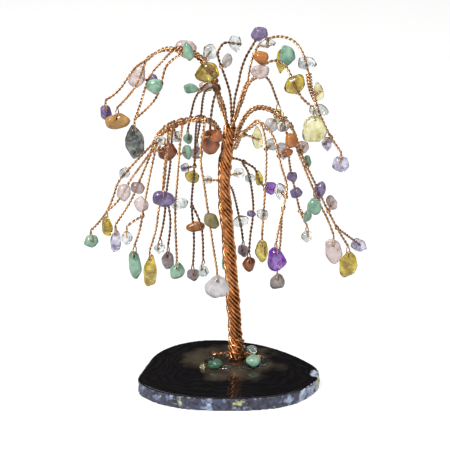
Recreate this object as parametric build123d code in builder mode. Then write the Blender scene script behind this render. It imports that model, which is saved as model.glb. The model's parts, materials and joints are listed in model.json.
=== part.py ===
from build123d import *
from math import cos, radians, sin, tan, tau
import os

# Gemstone tree: twisted copper wires, drilled tumbled stones, a polished agate slice as its base.
# +Z is up, +X is to the right and -Y is the front. The origin is on the slice's underside, under the trunk.
os.makedirs("parts", exist_ok=True)

# Front sheet: routes and stones are laid out in mm on a sheet seen from in front and a little above.
# "across" and "up" count from the trunk's foot on that sheet, and "depth" is the distance behind the trunk.
SHEET_TILT = 20.0
SHEET_DISTANCE = 500.0
SHEET_CENTRE_ACROSS = -4.3
SHEET_CENTRE_UP = 48.9
SHEET_CENTRE_HEIGHT = 57.0

# Agate slice
SLICE_THICKNESS = 5.0
SLICE_EDGE = 0.6
SLICE_ROUND_SHARE = 0.48
SLICE_OUTLINE = [
    (-35.4, -19.0),
    (-28.6, 6.4),
    (-11.9, 15.2),
    (7.0, 10.8),
    (19.8, 1.2),
    (29.9, -12.9),
    (18.5, -29.0),
    (0.9, -32.7),
    (-18.2, -31.3),
    (-28.8, -26.5),
]

# Trunk: left-handed strands laid round a core
STRAND_COUNT = 9
STRAND_DIAMETER = 0.9
TRUNK_FOOT_RING = 2.2
TRUNK_TOP_RING = 1.75
TRUNK_PITCH = 17.0
STATIONS_PER_TURN = 6
STRAND_SIDES = 4
STRAND_CLEARANCE = 0.03
CORE_SIDES = 8
CORE_STATIONS = 12
TRUNK_ROUTE = [
    (-0.7, 11.4),
    (-1.4, 22.1),
    (-2.5, 36.4),
    (-3.9, 52.5),
    (-5.0, 65.0),
    (-3.2, 79.3),
    (-2.5, 83.9),
]

# Wires: twigs are doubled wires, eyes are single wires
WIRE_DIAMETER = 0.8
EYE_DIAMETER = 0.5
WIRE_SIDES = 4
EYE_SIDES = 4
BEND_SHARE = 0.3
BEND_REACH = 2.5
SHARP_TURN = 22.0
STRAIGHT_TURN = 3.0
LIMB_GAP = 0.15
SEAT_GAP = 0.1
LIMB_SPACING = WIRE_DIAMETER + LIMB_GAP

# Stones: an uneven outline with its corners shifted and swollen by slow waves
STONE_SIDES = 7
CORNER_SHIFT = 0.3
TWO_WAVE_SWELL = 0.07
THREE_WAVE_SWELL = 0.05
SHIFT_STEP = 1.9
SHIFT_WAVE = 2.1
TWO_WAVE_STEP = 2.4
THREE_WAVE_STEP = 1.7
STONE_BEVEL = 1.1
STONE_BEVEL_SHARE = 0.16
STONE_SHOULDER_SHARE = 0.36
BORE_CLEARANCE = 0.6
STONE_BORE = WIRE_DIAMETER + BORE_CLEARANCE
STONE_BORE_SIDES = 6
DRILL_REACH = 4
STUB_REACH = 0.9
STUB_GAP = 0.3

# Hanging stones
EYE_PLAY = 0.6
PENDANT_BORE = EYE_DIAMETER + EYE_PLAY
PENDANT_WALL = 1.2
PENDANT_SWING = 25.0
EYE_HEADROOM = 1.5
EYE_SIDE_GAP = 0.35
EYE_SHOULDER_SHARE = 0.5
BEARING_SPREAD = 90.0
BEARING_FLATS = 6

# Foot
GLUE_LENGTH = 24.0
GLUE_DEPTH = 15.0
GLUE_HEIGHT = 1.0
GLUE_SIDES = 18
GLUE_SLOPE = 1.8
GLUE_EDGE = 0.2
GLUE_SETBACK = -3.5
GLUE_BORE_GAP = 0.2
STONE_SEAT = 0.05


def at(across, up, depth):
    """Frame point that shows at (across, up) on the front sheet, at a depth behind the trunk."""
    tilt = radians(SHEET_TILT)
    right = across - SHEET_CENTRE_ACROSS
    rise = up - SHEET_CENTRE_UP
    level_reach = SHEET_DISTANCE * cos(tilt)
    stretch = (depth + level_reach) / (level_reach + rise * sin(tilt))
    eye_height = SHEET_CENTRE_HEIGHT + SHEET_DISTANCE * sin(tilt)
    height = eye_height + stretch * (rise * cos(tilt) - SHEET_DISTANCE * sin(tilt))
    return Vector(SHEET_CENTRE_ACROSS + right * stretch, depth, height)


def along_sheet(points):
    return [at(*point) for point in points]


# Trunk line and its strands
trunk_points = [Vector(0, 0, SLICE_THICKNESS)] + [at(across, up, 0) for across, up in TRUNK_ROUTE]
trunk_line = Edge.make_spline(trunk_points)
trunk_turns = trunk_line.length / TRUNK_PITCH
trunk_stations = round(trunk_turns * STATIONS_PER_TURN)
trunk_reach = TRUNK_FOOT_RING + STRAND_DIAMETER / 2


def trunk_ring(share):
    return TRUNK_FOOT_RING + (TRUNK_TOP_RING - TRUNK_FOOT_RING) * share


def strand_point(strand, station):
    """Centre of one strand at one station; the lay turns clockwise on the way up."""
    share = station / trunk_stations
    angle = tau * (strand / STRAND_COUNT - trunk_turns * share)
    ring = trunk_ring(share)
    overrun = {0: -STRAND_DIAMETER, trunk_stations: STRAND_DIAMETER}.get(station, 0)
    return trunk_line @ share + Vector(ring * cos(angle), ring * sin(angle), overrun)


def make_strand(strand):
    points = [strand_point(strand, station) for station in range(trunk_stations + 1)]
    outward = points[0] - trunk_line @ 0
    with BuildPart() as laid:
        with BuildLine():
            Polyline(*points)
        with BuildSketch(Plane(points[0], x_dir=outward, z_dir=points[1] - points[0])):
            RegularPolygon(radius=STRAND_DIAMETER / 2, side_count=STRAND_SIDES)
        sweep(transition=Transition.RIGHT)
        split(bisect_by=Plane(trunk_line @ 0), keep=Keep.TOP)
        split(bisect_by=Plane(trunk_line @ 1), keep=Keep.BOTTOM)
    return laid.part.solid()


def make_core():
    inset = STRAND_DIAMETER / 2 + STRAND_CLEARANCE
    chord_share = cos(tau / STATIONS_PER_TURN / 2)
    with BuildPart() as core:
        for station in range(CORE_STATIONS + 1):
            share = station / CORE_STATIONS
            with BuildSketch(Plane(trunk_line @ share, x_dir=(1, 0, 0), z_dir=(0, 0, 1))):
                RegularPolygon(radius=trunk_ring(share) * chord_share - inset, side_count=CORE_SIDES)
        loft(ruled=True)
    return core.part.solid()


# Limbs: routes that several wires follow side by side
LIMB_ROUTES = {
    "crown_left": [
        (-4.6, 89.2, 0),
        (-6.8, 96.0, 0),
        (-8.6, 102.1, 0),
        (-11.8, 107.8, 0),
        (-16.8, 111.0, 0),
        (-22.1, 111.9, -1),
        (-27.5, 111.0, -2),
        (-31.8, 107.8, -3),
    ],
    "crown_right": [(-0.4, 87.8, -1), (1.1, 92.1, -2), (2.5, 96.7, -2.5), (4.3, 100.0, -2)],
    "mid_left": [
        (-6.0, 80.0, -2),
        (-6.9, 83.9, -3),
        (-9.4, 86.0, -5),
        (-13.2, 86.9, -7),
        (-17.5, 86.4, -8),
        (-21.8, 85.2, -9),
        (-25.7, 83.2, -10),
        (-28.6, 80.3, -10),
    ],
    "mid_right": [
        (-0.1, 79.5, -1.4),
        (0.8, 83.8, -3),
        (2.3, 87.0, -4),
        (4.8, 89.5, -5),
        (7.9, 91.2, -6),
        (11.8, 90.3, -7),
        (16.4, 87.1, -8),
        (19.3, 84.3, -8),
    ],
    "mid_right_low": [(-0.7, 76.3, -1.7), (1.1, 80.3, -5.5), (3.9, 83.5, -8.5), (7.5, 86.0, -10)],
}
LIMB_WIRES = {
    "crown_left": ["quartz_drop_back", "amethyst_west", "carnelian_west", "quartz_drop"],
    "crown_right": ["pale_citrine", "pear", "arc"],
    "mid_left": ["violet_west", "green_disc", "yellow_west", "green_drop"],
    "mid_right": ["quartz_east", "rose_east", "citrine_east"],
    "mid_right_low": ["amethyst_big", "citrine_drop"],
}
LIMB_PLACE_TURN = {"crown_left": 45, "crown_right": 90, "mid_left": 45, "mid_right": 90, "mid_right_low": 0}

# Hanging stones: middle on the sheet (across, up), depth, width, height, thickness, taper and turn about Z
PENDANTS = {
    "amethyst_west": (-46.8, 88.9, -4, 5.0, 5.7, 3.0, 0.0, 10),
    "carnelian_west": (-42.8, 85.7, -10, 8.9, 6.4, 3.4, 0.0, -10),
    "quartz_drop": (-36.4, 78.5, -6, 7.0, 12.8, 3.8, 0.2, 8),
    "amethyst_east": (37.0, 70.3, -4, 6.8, 6.1, 3.2, 0.0, -12),
    "citrine_pear": (27.5, 82.8, -8.5, 9.3, 11.4, 3.8, 0.3, 6),
    "pale_citrine": (14.8, 88.2, 12, 4.2, 4.6, 2.8, 0.0, 20),
    "green_disc": (-52.0, 42.8, -8, 5.2, 5.4, 2.8, 0.0, 14),
    "citrine_west": (-46.5, 48.2, -17, 4.2, 7.9, 2.8, 0.1, -8),
    "amethyst_low_west": (-43.2, 43.2, -4, 4.4, 9.0, 3.0, 0.1, 12),
    "quartz_low_west": (-39.3, 43.9, -19, 3.8, 5.9, 2.6, 0.0, 0),
    "green_drop": (-36.5, 34.6, -14, 5.0, 11.0, 3.0, -0.2, -14),
    "citrine_long": (-31.0, 32.5, -10, 5.4, 12.8, 3.4, 0.1, 8),
    "quartz_green": (-27.5, 40.3, 8, 4.0, 4.4, 2.6, 0.0, -20),
    "amethyst_oval": (-26.4, 58.2, -17.5, 8.9, 6.0, 3.2, 0.0, 6),
    "green_low": (-21.4, 32.5, -12, 5.7, 6.6, 3.2, 0.0, 10),
    "rose_grey": (-24.6, 36.0, 6, 4.8, 8.2, 3.0, 0.1, -10),
    "rose_back": (-15.7, 31.0, 10, 5.4, 4.8, 3.0, 0.0, 16),
    "quartz_back": (-12.1, 32.5, 5, 4.2, 5.4, 2.8, 0.0, -16),
    "rose_white": (-7.1, 26.8, -12, 9.3, 9.3, 4.0, 0.0, 4),
    "citrine_drop": (8.9, 39.3, -10, 4.8, 8.9, 3.4, 0.25, -6),
    "amethyst_big": (13.9, 36.4, -14, 7.1, 9.6, 3.8, 0.15, 8),
    "grey_pebble": (14.3, 28.9, -8, 6.2, 6.2, 3.0, 0.0, -4),
    "quartz_east": (25.0, 44.6, 10, 4.0, 5.0, 2.6, 0.0, 12),
    "rose_east": (34.3, 39.3, -6, 7.1, 9.6, 3.6, 0.0, -8),
    "citrine_east": (39.6, 35.0, 0, 7.5, 10.0, 3.8, -0.1, 10),
    "carnelian_point": (4.3, 34.6, 6, 4.4, 6.8, 3.0, -0.35, 14),
    "rose_centre": (2.1, 39.6, 11, 4.6, 5.0, 3.0, 0.0, -12),
    "green_behind": (-3.9, 35.3, 14, 4.2, 5.5, 2.8, 0.0, 18),
    "mauve_back": (-14.3, 74.6, 14, 5.0, 5.2, 3.0, 0.0, -10),
    "green_back": (-17.5, 79.6, 16.5, 3.8, 4.2, 2.6, 0.0, 12),
    "jasper_big": (-9.6, 78.2, -7, 7.1, 10.0, 3.6, 0.0, -5),
}

# Twigs after their limb, or whole where they start beside another wire: across, up, depth
TWIG_ROUTES = {
    "amethyst_west": [(-35.5, 106.0, -3.5), (-38.0, 103.0, -4), (-42.8, 95.6, -4)],
    "carnelian_west": [(-33.6, 104.2, -5.5), (-35.7, 98.9, -7), (-39.6, 93.8, -9)],
    "quartz_drop": [(-25.0, 106.7, -5), (-26.4, 102.5, -6), (-27.8, 95.7, -6), (-31.5, 90.8, -6)],
    "quartz_drop_back": [(-26.0, 108.0, 3), (-30.7, 103.2, 5), (-32.5, 98.9, 5), (-35.2, 89.6, -2.5)],
    "hook": [
        (-2.1, 90.0, 2.5),
        (-2.3, 95.3, 3),
        (-3.6, 100.0, 3),
        (-5.7, 105.7, 2),
        (-7.1, 109.6, 1),
        (-6.1, 112.5, 0),
        (-3.9, 114.6, 0),
        (1.6, 113.4, -1),
    ],
    "crest": [
        (-1.2, 90.0, 1.2),
        (-0.9, 94.2, 2),
        (0.7, 100.0, 3),
        (1.2, 103.5, 4),
        (2.9, 108.5, 4),
        (5.0, 112.1, 4),
        (9.0, 118.6, 3),
    ],
    "arc": [
        (4.6, 105.7, -2),
        (7.0, 113.0, -2),
        (13.0, 116.5, -2),
        (19.5, 115.6, -2),
        (23.5, 111.0, -3),
        (25.7, 103.0, -3),
        (26.0, 98.0, -3),
        (28.0, 93.0, -3),
        (30.5, 86.0, -4),
        (34.3, 78.6, -4),
    ],
    "pear": [
        (6.4, 102.5, -3.5),
        (9.3, 105.7, -3),
        (12.1, 107.6, -3),
        (15.7, 107.5, -3),
        (18.2, 104.8, -4.5),
        (22.1, 95.3, -6),
        (25.0, 92.4, -8),
    ],
    "pale_citrine": [(7.5, 101.8, 2), (10.0, 102.3, 6), (12.1, 99.8, 9), (13.6, 95.3, 11)],
    "green_disc": [
        (-29.6, 78.3, -11),
        (-35.0, 72.8, -12),
        (-42.5, 64.8, -13),
        (-44.0, 59.5, -13),
        (-45.6, 55.0, -12),
        (-48.5, 50.4, -10),
    ],
    "yellow_west": [(-30.0, 76.2, -13), (-34.6, 69.6, -15.5), (-38.7, 64.3, -17), (-41.9, 57.2, -17)],
    "violet_west": [(-30.2, 75.5, -9), (-33.8, 67.0, -8), (-37.2, 58.5, -6.5), (-40.3, 53.5, -5)],
    "green_drop": [
        (-29.2, 75.5, -12.5),
        (-31.1, 66.8, -14),
        (-32.5, 59.5, -15),
        (-33.8, 52.0, -15),
        (-34.8, 46.0, -15),
    ],
    "quartz_low_west": [(-34.7, 51.6, -16.1), (-36.4, 50.6, -18)],
    "citrine_long": [
        (-24.6, 82.3, -10.6),
        (-25.2, 72.1, -10.5),
        (-26.1, 61.4, -10),
        (-28.0, 55.0, -10),
        (-28.8, 46.4, -10),
    ],
    "quartz_green": [
        (-22.4, 85.6, -7.4),
        (-23.3, 79.0, -1),
        (-23.6, 71.0, 5),
        (-25.2, 61.0, 8),
        (-25.9, 50.0, 8.5),
    ],
    "amethyst_oval": [(-23.4, 83.4, -10.6), (-24.6, 78.0, -14.4), (-26.0, 70.0, -17)],
    "green_low": [
        (-19.4, 84.8, -9.4),
        (-20.4, 78.0, -12),
        (-20.9, 70.0, -13),
        (-22.2, 54.0, -13),
        (-21.8, 43.6, -12.5),
    ],
    "rose_grey": [(-25.0, 58.4, 9.2), (-23.8, 52.5, 7.5), (-23.8, 46.5, 6.5)],
    "rose_back": [
        (-14.2, 86.9, -5.8),
        (-14.8, 80.5, 0),
        (-15.0, 72.1, 4),
        (-15.7, 63.2, 7),
        (-16.4, 56.0, 9),
        (-15.0, 43.6, 10),
    ],
    "quartz_back": [(-15.6, 55.2, 7.8), (-13.6, 51.2, 5.5), (-12.0, 45.7, 5)],
    "rose_white": [
        (-11.4, 86.0, -7.4),
        (-12.4, 80.0, -12.5),
        (-13.2, 72.1, -13),
        (-11.8, 63.9, -12.5),
        (-10.7, 56.0, -12),
        (-8.2, 39.0, -12),
    ],
    "citrine_drop": [(9.3, 83.9, -11), (10.5, 76.8, -11), (10.4, 66.8, -11), (9.2, 49.4, -10.5)],
    "amethyst_big": [
        (10.6, 84.2, -12.4),
        (13.9, 78.9, -13),
        (15.0, 72.8, -14),
        (16.4, 67.8, -14),
        (18.2, 62.5, -14),
        (16.8, 56.0, -14),
        (14.8, 47.5, -14),
    ],
    "grey_pebble": [(16.2, 55.0, -13.2), (15.9, 49.0, -9.5), (15.5, 42.0, -8)],
    "quartz_east": [(18.9, 78.5, -2), (18.3, 71.8, 5), (21.5, 58.2, 9.5), (22.6, 53.0, 10)],
    "rose_east": [
        (20.4, 81.0, -8),
        (21.2, 76.4, -7.5),
        (23.9, 69.6, -7.5),
        (26.8, 62.8, -7.5),
        (30.0, 55.3, -7),
        (32.5, 51.0, -6.5),
    ],
    "citrine_east": [
        (20.9, 81.6, -6.8),
        (22.2, 76.4, -6),
        (24.6, 70.4, -5.5),
        (27.3, 65.0, -4),
        (30.7, 57.6, -2.5),
        (33.0, 53.0, -1.5),
        (36.3, 46.6, -1),
    ],
    "small_low": [
        (-1.0, 72.8, 1.2),
        (1.4, 72.1, 2.5),
        (4.6, 70.3, 4),
        (6.8, 69.0, 5),
        (8.6, 62.2, 6.5),
        (13.0, 62.0, 12.5),
    ],
    "carnelian_point": [
        (1.6, 71.2, 3.6),
        (4.0, 68.5, 6),
        (5.3, 62.0, 8),
        (5.9, 56.0, 9),
        (5.6, 50.5, 9),
        (4.6, 45.0, 7.5),
    ],
    "rose_centre": [(-2.1, 63.2, 1.8), (-0.7, 58.5, 6), (0.3, 53.9, 8.5), (1.9, 46.6, 10.6)],
    "green_behind": [(-4.7, 61.0, 3.2), (-4.4, 55.0, 9), (-4.2, 47.0, 13)],
    "mauve_back": [(-7.7, 98.4, 1.9), (-10.4, 97.6, 4.5), (-12.1, 95.4, 8), (-12.8, 87.0, 13)],
    "green_back": [(-8.4, 100.8, 1.9), (-11.5, 98.8, 9), (-15.0, 94.6, 14), (-16.4, 88.5, 16)],
    "jasper_big": [(-7.0, 97.0, -1.5), (-8.2, 94.5, -2.5), (-9.0, 90.3, -5)],
}
PENDANT_WIRE = {
    "amethyst_east": "arc",
    "citrine_pear": "pear",
    "citrine_west": "yellow_west",
    "amethyst_low_west": "violet_west",
}

# Wires that start in the trunk's top, with the angle of their seat
TOP_SEATS = {
    "amethyst_west": 100,
    "carnelian_west": 220,
    "quartz_drop": 180,
    "quartz_drop_back": 140,
    "hook": 60,
    "arc": 265,
    "pear": 315,
    "pale_citrine": 20,
}
CORE_SEAT = "crest"

# Wire groups, one node each
WIRE_GROUPS = {
    "crown_left_wires": ["amethyst_west", "carnelian_west", "quartz_drop", "quartz_drop_back"],
    "crown_top_wires": ["hook", "crest"],
    "crown_right_wires": ["arc", "pear", "pale_citrine"],
    "crown_back_wires": ["mauve_back", "green_back", "jasper_big"],
    "mid_left_arch_wires": ["green_disc", "yellow_west", "violet_west", "green_drop", "quartz_low_west"],
    "mid_left_front_wires": ["citrine_long", "amethyst_oval", "green_low", "rose_white"],
    "mid_left_back_wires": ["quartz_green", "rose_grey", "rose_back", "quartz_back"],
    "mid_right_front_wires": ["citrine_drop", "amethyst_big", "grey_pebble"],
    "mid_right_arch_wires": ["rose_east", "citrine_east", "quartz_east"],
    "low_right_wires": ["small_low", "carnelian_point", "rose_centre", "green_behind"],
}

# Strung stones: wire, middle on the sheet (across, up), depth, width, height, thickness, lean
STRUNG = {
    "amethyst_stones": [
        ("crest", 8.0, 117.1, 3.0, 6.0, 5.7, 3.4, 20),
        ("quartz_east", 19.7, 66.2, 7.0, 4.4, 4.4, 3.0, 0),
        ("quartz_east", 21.1, 60.4, 8.8, 5.0, 4.2, 3.0, 15),
        ("citrine_east", 29.3, 61.0, -3.2, 4.6, 7.9, 3.2, -20),
        ("small_low", 11.6, 62.1, 10.5, 5.7, 5.7, 3.4, 10),
        ("carnelian_point", 4.9, 53.0, 9.0, 3.8, 2.8, 2.6, 0),
    ],
    "citrine_stones": [
        ("pear", 20.7, 99.0, -5.4, 7.5, 7.5, 3.6, 30),
        ("rose_back", -16.0, 66.2, 6.2, 5.4, 5.4, 3.2, 20),
        ("small_low", 7.8, 65.6, 5.7, 3.4, 6.0, 2.8, 10),
    ],
    "clear_quartz_stones": [
        ("hook", -0.6, 113.9, -0.6, 4.6, 6.4, 3.2, 10),
        ("arc", 24.8, 106.7, -3.0, 7.1, 5.0, 3.2, 0),
        ("arc", 29.0, 89.8, -3.4, 7.9, 4.3, 3.2, -10),
        ("green_disc", -40.2, 67.3, -12.7, 4.4, 4.4, 3.0, 40),
        ("green_low", -20.6, 56.6, -13.0, 6.4, 4.6, 2.8, 20),
        ("carnelian_point", 4.6, 65.6, 7.0, 4.6, 3.4, 2.8, 0),
        ("rose_centre", 1.3, 50.2, 9.5, 6.4, 5.0, 3.0, 10),
        ("citrine_drop", 9.1, 52.6, -10.6, 4.6, 4.3, 3.0, 0),
    ],
    "rose_quartz_stones": [
        ("yellow_west", -40.4, 60.6, -17.0, 5.4, 6.4, 3.2, 20),
        ("violet_west", -35.6, 62.2, -7.2, 5.0, 5.4, 3.0, 10),
        ("green_drop", -34.1, 56.2, -15.0, 6.0, 5.4, 3.2, 20),
    ],
    "carnelian_stones": [
        ("rose_back", -14.8, 48.2, 9.6, 7.5, 4.3, 3.2, 0),
    ],
    "jasper_stones": [
        ("rose_white", -9.2, 50.6, -12.0, 5.0, 7.1, 3.2, 25),
    ],
    "aventurine_stones": [],
}

# Stones on their own stub: carrier, middle on the sheet (across, up), depth, width, height, thickness, lean
STUBBED = {
    "amethyst_stones": [
        ("quartz_drop_back", -30.0, 100.6, 9.0, 3.8, 4.4, 2.8, 0),
        ("arc", 32.0, 78.0, 0.2, 3.6, 5.6, 2.8, 10),
        ("citrine_east", 43.4, 41.8, 6.5, 6.4, 5.0, 3.2, -15),
        ("rose_back", -18.6, 69.3, 3.0, 4.0, 3.6, 2.6, 0),
    ],
    "citrine_stones": [
        ("quartz_drop", -10.6, 103.3, -6.0, 8.2, 8.2, 3.8, 20),
        ("pear", 16.0, 107.6, 2.5, 4.4, 8.6, 3.0, -10),
        ("arc", 29.2, 96.4, 0.5, 3.6, 7.4, 2.8, 10),
        ("citrine_drop", 7.3, 79.6, -5.5, 3.9, 8.9, 3.0, 5),
    ],
    "clear_quartz_stones": [
        ("amethyst_west", -9.8, 110.6, 5.0, 5.7, 6.2, 3.2, 0),
        ("arc", 10.7, 113.6, -7.5, 6.0, 3.6, 2.8, 0),
        ("green_drop", -27.4, 79.0, -13.8, 4.4, 4.0, 2.8, 0),
        ("green_drop", -21.5, 80.4, -7.0, 3.4, 4.2, 2.6, 0),
        ("citrine_east", 16.4, 84.4, -11.8, 4.6, 5.0, 3.0, 10),
        ("amethyst_big", 15.4, 61.0, -9.8, 4.6, 6.0, 3.0, 0),
        ("trunk", 0.6, 67.4, 4.0, 4.2, 4.6, 3.0, 0),
        ("trunk", -10.4, 65.0, 1.5, 4.3, 3.4, 2.8, 0),
    ],
    "rose_quartz_stones": [
        ("hook", -3.6, 107.6, 5.6, 3.6, 6.0, 2.8, 0),
        ("amethyst_west", -18.2, 111.6, 5.0, 7.6, 7.6, 3.4, 15),
        ("quartz_drop_back", -35.4, 101.8, 6.5, 6.4, 8.6, 3.4, -15),
        ("green_back", -10.9, 98.4, 13.4, 5.0, 5.2, 3.0, 0),
        ("pear", 8.2, 103.6, -8.0, 7.1, 5.0, 3.2, 10),
        ("rose_east", 12.2, 84.6, -4.8, 5.4, 5.6, 3.2, 0),
        ("citrine_drop", 12.2, 77.6, -6.6, 4.2, 4.8, 3.0, 0),
        ("quartz_east", 16.2, 75.4, -4.6, 4.6, 6.8, 3.0, 15),
        ("citrine_east", 23.6, 76.8, -1.4, 4.0, 5.4, 2.8, 0),
        ("citrine_east", 33.8, 56.8, 2.4, 4.3, 5.7, 3.0, 15),
    ],
    "carnelian_stones": [
        ("arc", 8.6, 108.6, -5.4, 5.0, 5.4, 3.2, 0),
        ("rose_east", 19.4, 79.0, -12.6, 5.4, 5.0, 3.4, 0),
        ("rose_white", -7.2, 80.2, -12.0, 4.2, 4.4, 2.8, 0),
    ],
    "jasper_stones": [
        ("violet_west", -25.0, 75.2, -4.4, 8.4, 6.2, 3.6, 10),
        ("amethyst_big", 17.8, 74.6, -11.2, 4.2, 3.6, 2.8, 20),
    ],
    "aventurine_stones": [
        ("carnelian_west", -17.4, 110.6, -4.6, 3.8, 6.8, 2.8, 10),
        ("quartz_drop", -29.4, 98.6, -10.0, 6.0, 6.0, 3.2, 0),
        ("green_back", -16.6, 97.6, 9.0, 5.6, 4.0, 2.8, 0),
        ("pear", 17.9, 109.4, -7.2, 6.0, 7.0, 3.4, 20),
        ("green_low", -17.8, 75.0, -8.0, 3.6, 6.4, 2.8, 5),
        ("citrine_east", 25.1, 71.6, -2.4, 3.0, 4.6, 2.6, 0),
        ("quartz_east", 25.0, 52.0, 5.6, 3.6, 5.2, 2.8, 0),
        ("rose_east", 27.6, 55.4, -11.2, 5.0, 7.0, 3.2, 0),
    ],
}

# Foot stones, where they lie on the slice: x, y, width, depth, height
FOOT_STONES = [
    (-8.0, -9.0, 5.6, 4.4, 3.4),
    (6.0, -7.6, 5.6, 5.0, 4.6),
    (5.6, 2.6, 4.6, 4.0, 3.4),
    (-12.6, -9.4, 2.4, 2.2, 1.8),
]

# Root wires: x and y on the slice, and height above the glue bed
ROOT_ROUTES = [
    [(-3.2, -0.4, 1.2), (-5.2, -0.9, 0.8), (-8.4, -0.6, 0.6), (-9.5, -1.3, 1.5)],
    [(3.1, -0.9, 1.2), (5.2, -2.0, 0.8), (8.9, -2.6, 0.6)],
    [(0.4, -3.3, 2.2), (1.1, -4.8, 0.8)],
]


def drop_straight_points(route):
    """The route without the inner points at which it hardly turns."""
    kept = [route[0]]
    for point, after in zip(route[1:], route[2:]):
        if (point - kept[-1]).get_angle(after - point) > STRAIGHT_TURN:
            kept.append(point)
    return kept + [route[-1]]


def ease_corners(route):
    """The route with each sharp corner cut across, so that the wire bends there in two easy steps."""
    eased = [route[0]]
    for before, point, after in zip(route, route[1:], route[2:]):
        if (point - before).get_angle(after - point) < SHARP_TURN:
            eased.append(point)
            continue
        reach = min(BEND_SHARE * min((point - before).length, (after - point).length), BEND_REACH)
        eased.append(point + (before - point).normalized() * reach)
        eased.append(point + (after - point).normalized() * reach)
    return eased + [route[-1]]


def limb_places(limb):
    """Points of each wire that follows a limb, side by side round the limb's own line."""
    line = along_sheet(LIMB_ROUTES[limb])
    names = LIMB_WIRES[limb]
    ring = LIMB_SPACING / (2 * sin(tau / max(len(names), 2) / 2))
    places = {name: [] for name in names}
    for index, point in enumerate(line):
        heading = (line[min(index + 1, len(line) - 1)] - line[max(index - 1, 0)]).normalized()
        side = heading.cross(Vector(0, 1, 0)).normalized()
        behind = side.cross(heading)
        for order, name in enumerate(names):
            angle = radians(LIMB_PLACE_TURN[limb]) + tau * order / len(names)
            places[name].append(point + side * (ring * cos(angle)) + behind * (ring * sin(angle)))
    return places


def pendant_hole(name):
    """Middle of a hanging stone's bore, and the joining point of its eye above it."""
    height = PENDANTS[name][4]
    middle = at(*PENDANTS[name][:3])
    hole_to_top = PENDANT_BORE / 2 + PENDANT_WALL
    hole = middle + Vector(0, 0, height / 2 - hole_to_top)
    eye_rise = hole_to_top / cos(radians(PENDANT_SWING)) + EYE_HEADROOM
    return hole, hole + Vector(0, 0, eye_rise)


def trunk_top_seat(angle):
    top = trunk_line @ 1
    seat_ring = TRUNK_TOP_RING - STRAND_DIAMETER / 4
    return top + Vector(seat_ring * cos(radians(angle)), seat_ring * sin(radians(angle)), SEAT_GAP)


# Limb places cut short where a wire leaves its limb early
LEAVES_AFTER = {"quartz_drop": 5, "quartz_drop_back": 6, "quartz_east": 7}
pendant_of_wire = {PENDANT_WIRE.get(name, name): name for name in PENDANTS}
limb_points = {}
for limb in LIMB_ROUTES:
    limb_points.update(limb_places(limb))

wire_routes = {}
for wire, twig in TWIG_ROUTES.items():
    route = []
    if wire in TOP_SEATS:
        route.append(trunk_top_seat(TOP_SEATS[wire]))
    if wire == CORE_SEAT:
        route.append(trunk_line @ 1 + Vector(0, 0, SEAT_GAP))
    if wire in limb_points:
        route.extend(limb_points[wire][: LEAVES_AFTER.get(wire)])
    route.extend(along_sheet(twig))
    if wire in pendant_of_wire:
        joint = pendant_hole(pendant_of_wire[wire])[1]
        route.append(joint + (joint - route[-1]).normalized() * EYE_DIAMETER)
    wire_routes[wire] = drop_straight_points(route)
wire_routes["trunk"] = [trunk_line @ (station / CORE_STATIONS) for station in range(CORE_STATIONS + 1)]


def nearest_on_route(route, target):
    """Nearest point of a route to a target, and the direction of the run that it lies on."""
    best = None
    for start, end in zip(route, route[1:]):
        run = end - start
        share = (target - start).dot(run) / run.dot(run)
        foot = start + run * min(max(share, 0), 1)
        gap = (target - foot).length
        if best is None or gap < best[0]:
            best = (gap, foot, run.normalized())
    return best[1], best[2]


def bend_wire(route):
    """Doubled wire bent along a route."""
    with BuildPart() as bent:
        with BuildLine():
            Polyline(*ease_corners(route))
        with BuildSketch(Plane(route[0], z_dir=route[1] - route[0])):
            RegularPolygon(radius=WIRE_DIAMETER / 2, side_count=WIRE_SIDES)
        sweep(transition=Transition.RIGHT)
    return bent.part.solid()


def make_wire(wire):
    """One doubled wire; its eye straddles the hanging stone and passes through the bore."""
    bent = bend_wire(wire_routes[wire])
    if wire not in pendant_of_wire:
        return bent
    pendant = pendant_of_wire[wire]
    thickness = PENDANTS[pendant][5]
    turn = radians(PENDANTS[pendant][7])
    hole, joint = pendant_hole(pendant)
    leg = thickness / 2 + EYE_SIDE_GAP + EYE_DIAMETER / 2
    front = Vector(sin(turn), -cos(turn), 0) * leg
    shoulder = joint - Vector(0, 0, leg * EYE_SHOULDER_SHARE)
    seam = (shoulder + hole) * 0.5 + front
    with BuildLine() as eye:
        Polyline(seam, hole + front, hole - front, shoulder - front, joint, shoulder + front, close=True)
    with BuildSketch(Plane(seam, x_dir=front, z_dir=hole - shoulder)) as eye_section:
        RegularPolygon(radius=EYE_DIAMETER / 2, side_count=EYE_SIDES)
    with BuildPart() as looped:
        sweep(eye_section.sketch, path=eye.wire(), transition=Transition.RIGHT)
        add(bent)
    return looped.part.solid()


def stone_outline(width, height, taper, lean, variant):
    """Uneven rounded outline of a tumbled stone."""
    corners = []
    for corner in range(STONE_SIDES):
        shift = CORNER_SHIFT * sin(SHIFT_STEP * variant + SHIFT_WAVE * corner)
        angle = tau * (corner + shift) / STONE_SIDES
        swell = 1 + TWO_WAVE_SWELL * sin(2 * angle + TWO_WAVE_STEP * variant)
        swell += THREE_WAVE_SWELL * sin(3 * angle + THREE_WAVE_STEP * variant)
        across = swell * cos(angle) * width / 2
        up = swell * sin(angle) * height / 2
        across *= 1 - taper * up / (height / 2)
        turn = radians(lean)
        corners.append((across * cos(turn) - up * sin(turn), across * sin(turn) + up * cos(turn)))
    return corners


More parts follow.
